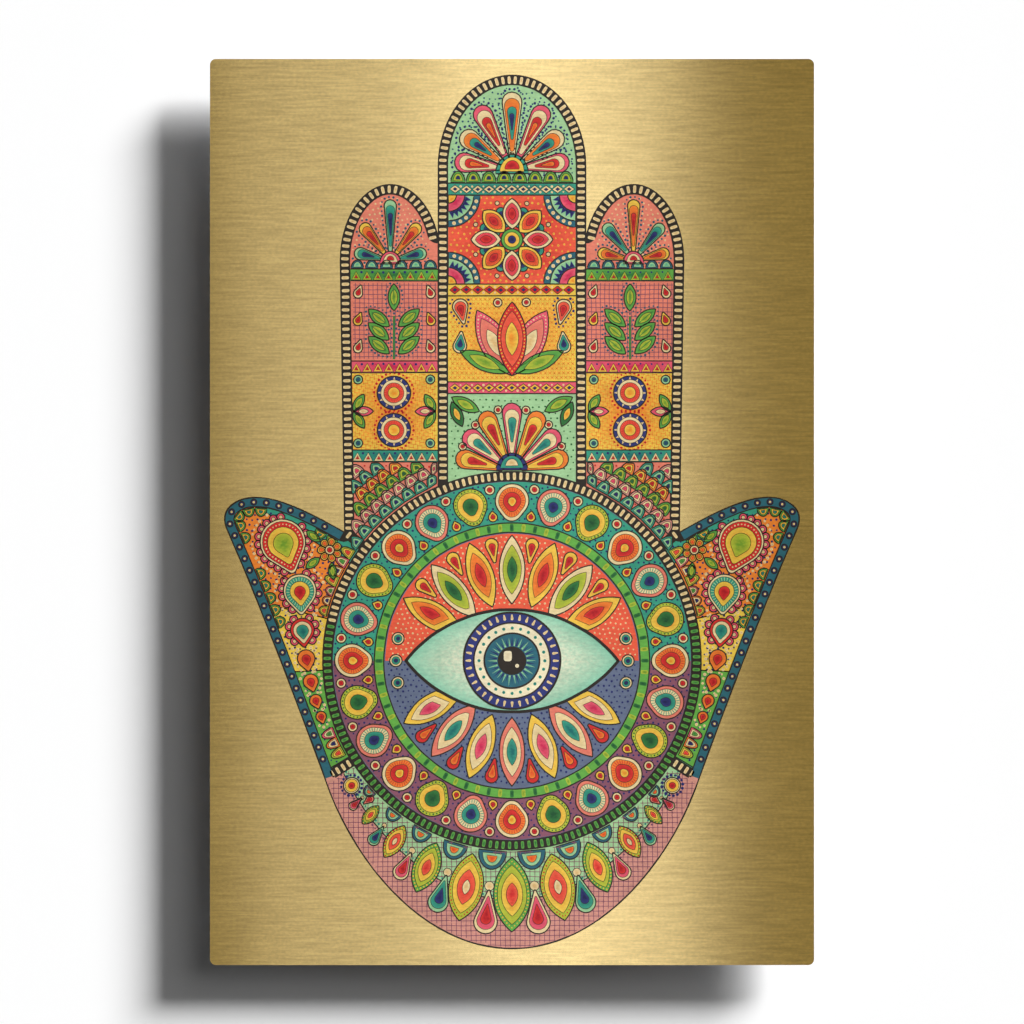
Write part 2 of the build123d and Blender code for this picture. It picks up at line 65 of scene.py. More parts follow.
Array = np.ndarray
Numbers = Sequence[float]
Pair = tuple[float, float]
Row = tuple[float, ...]
Recipes = tuple[str, ...]
Mask = Callable[[np.ndarray], np.ndarray]
Socket = bpy.types.NodeSocket


def linear(srgb: Numbers) -> Row:
    """Turns an sRGB colour into linear light, by the standard curve with its straight foot.

    Args:
        srgb: red, green and blue from 0 to 255.

    Returns:
        The three linear values.
    """
    share = np.asarray(srgb, float) / 255
    curve = np.where(share <= 0.04045, share / 12.92, ((share + 0.055) / 1.055) ** 2.4)
    return tuple(float(v) for v in curve)


class Tone(Enum):
    """The inks: the record's slot, the sRGB colour, and the colour where the pen went twice."""

    BLACK = ("ink_black", (44, 38, 32), (40, 34, 28))
    CREAM = ("ink_cream", (238, 218, 164), (222, 184, 122))
    WHITE = ("ink_white", (242, 230, 192), (226, 210, 170))
    RED = ("ink_red", (220, 52, 46), (170, 22, 32))
    CORAL = ("ink_red", (238, 96, 66), (216, 48, 44))
    PINK = ("ink_pink", (232, 96, 114), (206, 44, 84))
    SALMON = ("ink_salmon", (232, 132, 108), (220, 88, 84))
    ORANGE = ("ink_orange", (240, 136, 50), (224, 76, 34))
    YELLOW = ("ink_yellow", (240, 204, 78), (234, 146, 44))
    LIME = ("ink_green", (188, 194, 60), (118, 158, 46))
    GREEN = ("ink_green", (102, 174, 72), (46, 118, 56))
    FOREST = ("ink_green", (54, 124, 60), (28, 82, 46))
    MINT = ("ink_mint", (164, 208, 152), (88, 176, 136))
    TEAL = ("ink_teal", (58, 158, 130), (26, 108, 104))
    LAGOON = ("ink_teal", (46, 104, 118), (30, 66, 92))
    NAVY = ("ink_navy", (48, 56, 118), (28, 32, 80))
    SLATE = ("ink_slate", (102, 114, 138), (76, 88, 120))
    MAUVE = ("ink_mauve", (214, 150, 134), (176, 108, 112))
    PLUM = ("ink_mauve", (140, 86, 104), (106, 58, 84))
    EYE = ("ink_white", (140, 204, 172), (255, 244, 212))

    @property
    def slot(self) -> str:
        """The record's material slot that this ink belongs to."""
        return self.value[0]

    @property
    def colour(self) -> Row:
        """The ink's colour in linear light."""
        return linear(self.value[1])

    @property
    def heart(self) -> Row:
        """The ink's deeper colour in linear light."""
        return linear(self.value[2])


class Shader:
    """The node tree of a material or the room, with short calls for what the finishes share."""

    def __init__(self, name: str, room: bool = False) -> None:
        """Starts a new tree.

        Args:
            name: what the material or room is called.
            room: whether it is the room's.
        """
        self.owner = (bpy.data.worlds if room else bpy.data.materials).new(name)
        self.owner.use_nodes = True
        self.tree = self.owner.node_tree
        self.tree.nodes.clear()
        self.output = self.add(f"Output{type(self.owner).__name__}", {})

    def add(self, kind: str, inputs: dict, **settings: object) -> bpy.types.Node:
        """Adds a node and fills its sockets.

        Args:
            kind: the node's type without its ShaderNode prefix.
            inputs: socket name or number to a value, or to the socket that feeds it.
            settings: the node's own options.

        Returns:
            The new node.
        """
        node = self.tree.nodes.new(f"ShaderNode{kind}")
        for key, value in settings.items():
            setattr(node, key, value)
        for key, value in inputs.items():
            if isinstance(value, Socket):
                self.tree.links.new(value, node.inputs[key])
            else:
                node.inputs[key].default_value = value
        return node

    def blend(self, factor: Socket, *colours: Numbers | Socket) -> Socket:
        """The first of two colours where the factor is 0, the second where it is 1."""
        pair = (c if isinstance(c, Socket) else (*c, 1) for c in colours)
        return self.add("Mix", dict(zip((0, 6, 7), (factor, *pair))), data_type="RGBA").outputs[2]

    def close(self, surface: Socket) -> bpy.types.Material | bpy.types.World:
        """Feeds the output with a surface, and returns the tree's owner."""
        self.tree.links.new(surface, self.output.inputs["Surface"])
        return self.owner

    def place(self, scale: Numbers) -> Socket:
        """The object's own coordinates in metres, scaled for a pattern."""
        coords = self.add("TexCoord", {}).outputs["Object"]
        return self.add("Mapping", {"Vector": coords, "Scale": scale}).outputs["Vector"]

    def noise(self, scale: Numbers, detail: float, low: float, high: float, rough: float = 0.5) -> Socket:
        """Smooth noise spread over a range.

        Args:
            scale: cells to the metre along x, y and z.
            detail: how many finer layers the noise has.
            low: the value of the noise's dark parts.
            high: the value of its light parts.
            rough: how strong the finer layers are.

        Returns:
            The socket that carries the value.
        """
        sockets = {"Vector": self.place(scale), "Scale": 1.0, "Detail": detail, "Roughness": rough}
        value = self.add("TexNoise", sockets).outputs["Fac"]
        spread = {"Value": value, "From Min": 0.3, "From Max": 0.7, "To Min": low, "To Max": high}
        return self.add("MapRange", spread).outputs["Result"]

    def times(self, *factors: Socket | float) -> Socket:
        """Multiplies values.

        Args:
            factors: two or more values or sockets.

        Returns:
            The socket that carries their product.
        """
        result = factors[0]
        for factor in factors[1:]:
            result = self.add("Math", {0: result, 1: factor}, operation="MULTIPLY").outputs[0]
        return result

    def shade(self, colour: Numbers | Socket, factor: Socket) -> Socket:
        """A colour made lighter or darker by a factor that changes over the surface."""
        return self.add("VectorMath", {0: colour, "Scale": factor}, operation="SCALE").outputs[0]

    def bump(self, height: Socket, depth: float) -> Socket:
        """A normal that a height from 0 to 1 lifts by depth metres."""
        return self.add("Bump", {"Height": height, "Strength": 1.0, "Distance": depth}).outputs[0]

    def finish(self, colour: Socket, roughness: Socket | float, normal: Socket, **more: object) -> object:
        """Closes the material with a Principled shader, more being its other sockets by name."""
        sockets = {"Base Color": colour, "Roughness": roughness, "Normal": normal, **more}
        return self.close(self.add("BsdfPrincipled", sockets).outputs[0])

    def brushed(self, low: float, high: float) -> Socket:
        """The sheet's brushing, from low to high: long level streaks under short ones."""
        long = self.noise((40, 40, 560), 3, low, high, 0.6)
        return self.times(long, self.noise((420, 420, 480), 2, (1 + low) / 2, (1 + high) / 2))

    def drawn_out(self, anisotropy: float) -> dict[str, object]:
        """The sockets that draw highlights out across the level brushing."""
        tangent = self.add("Tangent", {}, direction_type="RADIAL", axis="X").outputs[0]
        return {"Anisotropic": anisotropy, "Tangent": tangent}


@dataclass(frozen=True)
class BrushedSheet:
    """Brushed, lacquered metal with level scratches."""

    colour: tuple[int, int, int]
    roughness: float = 0.4
    anisotropy: float = 0.85
    streak: float = 0.07
    scratch_depth: float = 0.000004

    def build(self, name: str) -> bpy.types.Material:
        """Builds the finish.

        Args:
            name: the material's name.

        Returns:
            The material.
        """
        shader = Shader(name)
        streak = shader.brushed(1 - self.streak, 1 + self.streak)
        clouds = shader.noise((14, 14, 40), 3, 0.97, 1.03)
        colour = shader.shade(linear(self.colour), shader.times(streak, clouds))
        more = {"Metallic": 1.0, **shader.drawn_out(self.anisotropy)}
        normal = shader.bump(streak, self.scratch_depth)
        return shader.finish(colour, shader.times(clouds, self.roughness), normal, **more)


@dataclass(frozen=True)
class PrintedInk:
    """Translucent cured ink with felt-pen mottling, through which the brushing still shows."""

    tone: Tone
    metallic: float = 0.45
    roughness: float = 0.34
    anisotropy: float = 0.95
    streak: float = 0.035
    mottle: float = 0.13
    grain_depth: float = 0.000003

    def build(self) -> bpy.types.Material:
        """Builds the finish: two colours blended by the heart attribute and pen dabs.

        Returns:
            The material, named for its tone.
        """
        shader = Shader(f"ink_{self.tone.name.lower()}")
        streak = shader.brushed(1 - self.streak, 1 + self.streak)
        strokes = shader.noise((330, 330, 760), 4, 1 - self.mottle, 1 + self.mottle, 0.65)
        washes = shader.noise((60, 60, 75), 2, 1 - self.mottle / 2, 1 + self.mottle / 2)
        heart = shader.add("Attribute", {}, attribute_name="heart").outputs["Fac"]
        dabs = shader.times(heart, shader.noise((420, 420, 560), 3, 0.7, 1.7))
        colour = shader.blend(dabs, self.tone.colour, self.tone.heart)
        colour = shader.shade(colour, shader.times(streak, strokes, washes))
        more = {"Metallic": self.metallic, **shader.drawn_out(self.anisotropy)}
        return shader.finish(colour, self.roughness, shader.bump(strokes, self.grain_depth), **more)


@dataclass(frozen=True)
class Pine:
    """Planed pine with growth rings and fine pores, its grain along z or x."""

    upright: bool
    pale: tuple[int, int, int] = (226, 190, 136)
    dark: tuple[int, int, int] = (184, 136, 82)

    def build(self, name: str) -> bpy.types.Material:
        """Builds the finish.

        Args:
            name: the material's name.

        Returns:
            The material.
        """
        shader = Shader(name)
        rings, pores = ((a, a, b) if self.upright else (b, a, a) for a, b in ((95.0, 3.0), (1600, 28)))
        shape = {"Scale": 1.0, "Distortion": 5.0, "Detail": 3.0, "Detail Scale": 0.6}
        wave = shader.add("TexWave", {"Vector": shader.place(rings), **shape}, bands_direction="DIAGONAL")
        fibre = shader.noise(pores, 3, 0.86, 1.1)
        grain = shader.blend(wave.outputs["Fac"], linear(self.pale), linear(self.dark))
        normal = shader.bump(fibre, 0.00006)
        return shader.finish(shader.shade(grain, fibre), shader.times(fibre, 0.62), normal)


@dataclass(frozen=True)
class PlatedSteel:
    """Zinc or nickel plate over pressed steel, with a dull bloom and fine scratches."""

    colour: tuple[int, int, int]
    roughness: float = 0.32
    bloom: float = 0.14

    def build(self, name: str) -> bpy.types.Material:
        """Builds the finish.

        Args:
            name: the material's name.

        Returns:
            The material.
        """
        shader = Shader(name)
        bloom = shader.noise((260, 260, 260), 4, 1 - self.bloom, 1 + self.bloom, 0.6)
        scratch = shader.noise((2200, 300, 900), 2, 0.94, 1.04)
        colour = shader.shade(linear(self.colour), shader.times(bloom, scratch))
        normal = shader.bump(scratch, 0.000008)
        return shader.finish(colour, shader.times(bloom, self.roughness), normal, Metallic=1.0)


@dataclass(frozen=True)
class SoftMoulding:
    """Rubber, foam or sawn plastic: matt, with a fine grain of its own scale."""

    colour: tuple[int, int, int]
    roughness: float
    grain: float
    depth: float

    def build(self, name: str) -> bpy.types.Material:
        """Builds the finish.

        Args:
            name: the material's name.

        Returns:
            The material.
        """
        shader = Shader(name)
        speck = shader.noise((self.grain,) * 3, 3, 0.82, 1.18, 0.6)
        patch = shader.noise((40, 40, 40), 2, 0.95, 1.05)
        colour = shader.shade(linear(self.colour), shader.times(speck, patch))
        return shader.finish(colour, self.roughness, shader.bump(speck, self.depth))


# Flat shapes, each a loop of points that runs anticlockwise


def ray(angles: Array | float) -> Array:
    """Unit vectors at angles in degrees: their cosines and sines."""
    return np.stack([np.cos(np.radians(angles)), np.sin(np.radians(angles))], -1)


def circle(radius: float, count: int = 20) -> Array:
    """A circle: radius times the unit vectors of count equal steps of a turn."""
    return radius * ray(np.linspace(0, 360, count, endpoint=False))


def drop(length: float, hub: float, tip: float, count: int = 28) -> Array:
    """The hull of two circles, as an arc round each that ends where their common tangents touch.

    Args:
        length: from the hub's centre, at the origin, to the tip's centre, along x.
        hub: the hub circle's radius.
        tip: the tip circle's radius.
        count: how many points the loop has.

    Returns:
        The loop.
    """
    edge = 90 - math.degrees(math.asin((hub - tip) / length))
    near = tip * ray(np.linspace(-edge, edge, count // 3)) + (length, 0)
    return np.concatenate([near, hub * ray(np.linspace(edge, 360 - edge, count - count // 3))])


def leaf(length: float, width: float, count: int = 24) -> Array:
    """Two equal arcs of radius r from the origin along x, whose rise is sqrt(r*r - x*x) - (r - w/2).

    Args:
        length: from end to end.
        width: across the middle.
        count: how many points the loop has.

    Returns:
        The loop.
    """
    along = length / 2 * np.cos(np.linspace(-math.pi, 0, count // 2, endpoint=False))
    radius = (length**2 + width**2) / (4 * width)
    rise = np.sqrt(radius**2 - along**2) - (radius - width / 2)
    lower, upper = np.stack([along, -rise], -1), np.stack([-along, rise], -1)
    return np.concatenate([lower, upper]) + (length / 2, 0)


def dome(height: float, width: float) -> Array:
    """Half an ellipse that stands on the z axis and reaches height along x."""
    return (height, width / 2) * ray(np.linspace(-90, 90, 14))


def wedge(height: float, width: float) -> Array:
    """A triangle with its base on the z axis and its point height along x."""
    return np.array([(0, -width / 2), (height, 0), (0, width / 2)], float)


def lozenge(length: float, width: float) -> Array:
    """A diamond, longest along x."""
    return np.array([(-length / 2, 0), (0, -width / 2), (length / 2, 0), (0, width / 2)], float)


def bead(length: float, width: float, count: int = 12) -> Array:
    """A bar with soft corners: an ellipse whose cosines and sines have their roots taken."""
    wave = ray(np.linspace(0, 360, count, endpoint=False) + 180 / count)
    return np.sign(wave) * np.sqrt(np.abs(wave)) * (length / 2, width / 2)


def rectangle(x0: float, z0: float, x1: float, z1: float) -> Array:
    """One rectangle as a batch of a single loop."""
    return np.array([[(x0, z0), (x1, z0), (x1, z1), (x0, z1)]], float)


def placed(shape: Array, x: Numbers, z: Numbers, turn: Numbers = 0.0, size: Numbers = 1.0) -> Array:
    """Copies a shape to many places, each turned and scaled.

    Args:
        shape: one loop, count by 2.
        x: where each copy lies to the right.
        z: where each copy lies upwards.
        turn: each copy's angle in degrees.
        size: each copy's scale.

    Returns:
        The loops, copies by count by 2.
    """
    columns = (np.atleast_1d(np.asarray(v, float)) for v in (x, z, turn, size))
    x, z, turn, size = np.broadcast_arrays(*columns)
    spin = np.stack([ray(turn), ray(turn + 90)], -2) * size[:, None, None]
    return shape @ spin + np.stack([x, z], -1)[:, None]


def radial(
    shape: Array, centre: Numbers, radius: Numbers, angles: Numbers, lean: Numbers = 0.0, size: Numbers = 1.0
) -> Array:
    """Copies a shape round a centre, each pointing away from it and then turned by lean degrees."""
    spots = np.asarray(centre) + ray(angles) * np.atleast_1d(radius)[:, None]
    return placed(shape, *spots.T, np.add(angles, lean), size)


def both_sides(loops: Array) -> Array:
    """The loops and their mirror images across the sheet's upright middle."""
    return np.concatenate([loops, loops[:, ::-1] * MIRROR])


def mirrored(points: Array) -> Array:
    """Points and their mirror images across the sheet's upright middle."""
    return np.concatenate([points, points * MIRROR])


def rightward(along: Array) -> Array:
    """Unit vectors square to directions, on their right."""
    normal = np.stack([along[..., 1], -along[..., 0]], -1)
    return normal / np.maximum(np.linalg.norm(normal, axis=-1, keepdims=True), 1e-9)


def outward(loops: Array) -> Array:
    """Normals out of anticlockwise loops, square to the line between each point's two neighbours."""
    return rightward(np.roll(loops, -1, axis=-2) - np.roll(loops, 1, axis=-2))


def shoelace(loops: Array) -> tuple[Array, Array]:
    """The points after each loop's own, and the cross products of the two."""
    ahead = np.roll(loops, -1, axis=1)
    return ahead, loops[..., 0] * ahead[..., 1] - ahead[..., 0] * loops[..., 1]


def anticlockwise(loops: Array) -> Array:
    """The loops, with each that runs clockwise turned round, by the sign of its area."""
    area = shoelace(loops)[1].sum(axis=1)
    return np.where((area < 0)[:, None, None], loops[:, ::-1], loops)


def area_centre(loops: Array) -> Array:
    """The centre of each loop's area, copies by 1 by 2: cross products weight the points."""
    ahead, cross = shoelace(loops)
    return (((loops + ahead) * cross[..., None]).sum(axis=1) / (cross.sum(axis=1)[:, None] * 3))[:, None]


def walked(line: Array) -> Array:
    """How far each point lies along its line, measured over the first two columns."""
    steps = np.linalg.norm(np.diff(line[:, :2], axis=0), axis=1)
    return np.concatenate([[0], np.cumsum(steps)])


def resampled(line: Array, marks: Array) -> Array:
    """A line's columns at new distances along it."""
    return np.stack([np.interp(marks, walked(line), column) for column in line.T], -1)


def even_steps(line: Array, count: int, start: float = 0.0) -> Array:
    """A line's columns at count equal steps of its length, the first one start steps in."""
    return resampled(line, (np.arange(count) + start) * walked(line)[-1] / count)


def spaced(loops: Array, distance: float, spacing: float) -> Array:
    """Points at equal spacing along lines drawn outside closed loops.

    Args:
        loops: the loops.
        distance: from a loop to the line outside it.
        spacing: from one point to the next.

    Returns:
        The points of all the lines, in one list.
    """
    loops = anticlockwise(loops)
    lines = loops + outward(loops) * distance
    lines = np.concatenate([lines, lines[:, :1]], axis=1)
    counts = [max(int(walked(line)[-1] / spacing), 3) for line in lines]
    return np.concatenate([even_steps(line, count) for line, count in zip(lines, counts)])


def evened(loops: Array, count: int) -> Array:
    """Closed loops with their points moved to count equal steps of each one's length."""
    closed = np.concatenate([loops, loops[:, :1]], axis=1)
    return np.array([even_steps(line, count) for line in closed])


def clear_of(loops: Array, others: Array, gap: float) -> Array:
    """Which loops keep a gap from every point of the others."""
    away = np.linalg.norm(loops[:, :, None] - others.reshape(-1, 2), axis=-1)
    return away.min(axis=(1, 2)) > gap


def bezier(points: Sequence[Numbers], count: int) -> Array:
    """A cubic curve: the four points weighted by the terms of ((1 - t) + t) cubed.

    Args:
        points: its start, two handles and end.
        count: how many points to take, at equal steps of t.

    Returns:
        The points.
    """
    t = np.linspace(0, 1, count)[:, None]
    weights = ((1 - t) ** 3, 3 * (1 - t) ** 2 * t, 3 * (1 - t) * t**2, t**3)
    return sum(weight * np.asarray(point, float) for weight, point in zip(weights, points))


def arch(centre: Numbers, half: float, rise: float, start: float, end: float) -> Array:
    """Part of an ellipse round centre, from the angle start to end in degrees."""
    return np.asarray(centre) + (half, rise) * ray(np.linspace(start, end, 40))


def fan(foot: Pair, half_width: float, rise: float, angles: Numbers) -> Array:
    """Petals spread from one point, each as long as an ellipse of half_width and rise lets it be.

    Args:
        foot: the point they spread from.
        half_width: the ellipse's reach to either side.
        rise: the ellipse's reach upwards.
        angles: the petals' directions in degrees.

    Returns:
        One loop for each petal.
    """
    reach = 1 / np.linalg.norm(ray(angles) / (half_width, rise), axis=1)
    start, hub, tip = 0.2 * half_width, 0.045 * half_width, 0.17 * half_width
    petals = (drop(length - start - tip, hub, tip) for length in reach)
    return np.concatenate([radial(p, foot, start, [angle]) for p, angle in zip(petals, angles)])


# The plan of the print


@dataclass(frozen=True)
class Path2D:
    """A sampled line on the sheet, with the normal that points out of the hand."""

    points: Array
    normals: Array

    @staticmethod
    def through(pieces: Sequence[Array], step: float = 1.0) -> Path2D:
        """Joins stretches of points into one line.

        Args:
            pieces: the stretches.
            step: about how far its points are to lie apart.

        Returns:
            The line, sampled at equal steps of its length.
        """
        raw = np.concatenate(pieces)
        raw = raw[np.linalg.norm(np.diff(raw, axis=0, prepend=raw[:1] - 1), axis=1) > 1e-6]
        length = walked(raw)[-1]
        points = resampled(raw, np.linspace(0, length, max(int(length / step), 2) + 1))
        return Path2D(points, -rightward(np.gradient(points, axis=0)))

    def inset(self, distance: float) -> Array:
        """The line's points, moved into the hand by distance."""
        return self.points - self.normals * distance

    def marks(self, spacing: float, inset: float) -> tuple[Array, Array, Array]:
        """Places at equal spacing along the line.

        Args:
            spacing: from one place to the next.
            inset: how far into the hand the places lie.

        Returns:
            Their x and z, and the angle of the inward normal in degrees.
        """
        line = np.hstack([self.inset(inset), self.normals])
        count = max(int(round(walked(line)[-1] / spacing)), 1)
        x, z, nx, nz = even_steps(line, count, 0.5).T
        return x, z, np.degrees(np.arctan2(-nz, -nx))


@dataclass
class HandPlan:
    """The hand's outline and fields, in shares of its height, as the solid films have them."""

    height: float
    band_share: float = 0.012
    middle_half_share: float = 0.085
    middle_rise_share: float = 0.105
    side_shares: Pair = (0.081, 0.197)
    side_top_share: float = 0.375
    side_rise_share: float = 0.088
    crotch_shares: Pair = (0.192, -0.022)
    thumb_top_shares: tuple = ((0.236, 0.003), (0.281, 0.026), (0.311, 0.0145))
    thumb_tip_shares: tuple = ((0.325, 0.009), (0.334, -0.002), (0.3265, -0.020))
    thumb_outer_shares: tuple = ((0.302, -0.075), (0.262, -0.175), (0.2145, -0.305))
    palm_base_shares: tuple = ((0.186, -0.392), (0.106, -0.500), (0.0, -0.5))
    disc_centre_share: float = -0.170
    disc_radius_share: float = 0.217

    def __post_init__(self) -> None:
        """Works out the lengths and the four stretches of the right half's outline."""
        size = self.height
        self.band, self.radius = self.band_share * size, self.disc_radius_share * size
        self.centre = np.array([0.0, self.disc_centre_share * size])
        self.middle_half, self.middle_rise = self.middle_half_share * size, self.middle_rise_share * size
        self.middle_spring = size / 2 - self.middle_rise
        near, far = self.side_shares
        self.side_x, self.side_half = (near + far) * size / 2, (far - near) * size / 2
        self.side_rise = self.side_rise_share * size
        self.side_spring = self.side_top_share * size - self.side_rise
        crossing = math.degrees(math.acos((self.middle_half - self.side_x) / self.side_half))
        meet = self.side_spring + self.side_rise * math.sin(math.radians(crossing))
        crotch = np.array(self.crotch_shares) * size
        shares = (self.thumb_top_shares, self.thumb_tip_shares, self.thumb_outer_shares)
        top, tip, outer, base = (np.array(s) * size for s in (*shares, self.palm_base_shares))
        spring = (self.middle_half, self.middle_spring)
        cap = arch((0, self.middle_spring), self.middle_half, self.middle_rise, 90, 0)
        self.middle_edge = Path2D.through([cap, np.array([spring, (self.middle_half, meet)])])
        cap = arch((self.side_x, self.side_spring), self.side_half, self.side_rise, crossing, 0)
        foot = np.array([(self.side_x + self.side_half, self.side_spring), crotch])
        self.side_edge = Path2D.through([cap, foot])
        starts, ends, counts = (crotch, top[-1], tip[-1]), (top, tip, outer), (40, 20, 60)
        curves = [bezier([a, *b], count) for a, b, count in zip(starts, ends, counts)]
        self.thumb_edge = Path2D.through(curves)
        self.base_edge = Path2D.through([bezier([outer[-1], *base], 60)])
        self.crotch_angle, self.foot_angle = self.polar(crotch)[1], self.polar(outer[-1])[1]

    def polar(self, points: Array) -> tuple[Array, Array]:
        """Distance and angle in degrees of points from the palm disc's centre."""
        away = points - self.centre
        return np.linalg.norm(away, axis=-1), np.degrees(np.arctan2(away[..., 1], away[..., 0]))

    def reach(self, angles: Array, inset: float) -> Array:
        """How far the hand reaches from the disc's centre.

        Args:
            angles: the directions in degrees.
            inset: what is taken off at the outline.

        Returns:
            The distances.
        """
        edges = [edge.inset(inset) for edge in (self.thumb_edge, self.base_edge)]
        radius, angle = self.polar(np.concatenate(edges))
        order = np.argsort(angle)
        folded = np.where(np.abs(angles) > 90, np.sign(angles) * 180 - angles, angles)
        return np.interp(folded, angle[order], radius[order])

    def in_finger(self, points: Array, low: float, high: float, margin: float) -> Array:
        """Whether points lie between two heights, off the disc and inside the finger's arch.

        Args:
            points: the points.
            low: the lower height.
            high: the upper height.
            margin: how far inside they have to be.

        Returns:
            True for each point that does.
        """
        x, z = np.abs(points[..., 0]), points[..., 1]
        held = (z > low + margin) & (z < high - margin) & (self.polar(points)[0] > self.radius + margin)
        trim = self.band + margin
        side = self.side_half - trim
        caps = (
            (x, self.middle_half - trim, self.middle_spring, self.middle_rise - trim),
            (x - self.side_x, side, self.side_spring, self.side_rise - trim),
        )
        arched = [(a / half) ** 2 + (np.maximum(z - b, 0) / rise) ** 2 < 1 for a, half, b, rise in caps]
        column = (x > self.middle_half + margin) & (x < self.side_x + side - 0.5) & (z <= self.side_spring)
        return held & (arched[0] | arched[1] | column)

    def beside(self, points: Array, margin: float, rim: float) -> tuple[Array, Array, Array]:
        """Whether points lie between disc and outline, and how they lie to the thumb's ends.

        Args:
            points: the points.
            margin: how far off the disc and the thumb's ends they have to be.
            rim: how far inside the outline they have to be.

        Returns:
            Whether they do, their angles, and the margin as an angle.
        """
        radius, angle = self.polar(np.stack([np.abs(points[..., 0]), points[..., 1]], -1))
        side = np.degrees((self.band / 2 + margin) / np.maximum(radius, 1))
        return (radius > self.radius + margin) & (radius < self.reach(angle, rim)), angle, side

    def in_thumb(self, points: Array, margin: float) -> Array:
        """Whether points lie in a thumb's field."""
        held, angle, side = self.beside(points, margin, self.band + margin)
        return held & (angle < self.crotch_angle - side) & (angle > self.foot_angle + side)

    def in_base(self, points: Array, margin: float, rim: float | None = None) -> Array:
        """Whether points lie in the crescent at the palm's foot, rim being its margin outside."""
        held, angle, side = self.beside(points, margin, self.band + margin if rim is None else rim)
        return held & (angle < self.foot_angle - side)

    def grid(self, spacing: float, turn: float = 0.0, stagger: float = 0.5) -> Array:
        """Points of a grid over the whole hand.

        Args:
            spacing: from one point to the next.
            turn: the grid's angle in degrees.
            stagger: how far every other row is moved along, as a share of the spacing.

        Returns:
            The points in one list.
        """
        steps = np.arange(-self.height, self.height, spacing)
        across, up = np.meshgrid(steps, steps)
        across = across + (np.arange(len(steps)) % 2)[:, None] * spacing * stagger
        return np.stack([across, up], -1).reshape(-1, 2) @ np.stack([ray(turn), ray(turn + 90)])


# Putting ink on the sheet


def mesh_object(name: str, vertices: Array, corners: Array, sizes: Array) -> bpy.types.Object:
    """Puts whole arrays into a new mesh.

    Args:
        name: the object's name.
        vertices: count by 3, in metres.
        corners: every face's vertex numbers, one face after another.
        sizes: how many corners each face has.

    Returns:
        The object, linked to the scene at the origin.
    """
    mesh = bpy.data.meshes.new(name)
    mesh.vertices.add(len(vertices))
    mesh.vertices.foreach_set("co", vertices.astype(np.float32).ravel())
    mesh.loops.add(len(corners))
    mesh.loops.foreach_set("vertex_index", corners.astype(np.int32))
    mesh.polygons.add(len(sizes))
    starts = np.concatenate([[0], np.cumsum(sizes)[:-1]])
    mesh.polygons.foreach_set("loop_start", starts.astype(np.int32))
    mesh.update(calc_edges=True)
    mesh.shade_flat()
    piece = bpy.data.objects.new(name, mesh)
    bpy.context.scene.collection.objects.link(piece)
    return piece


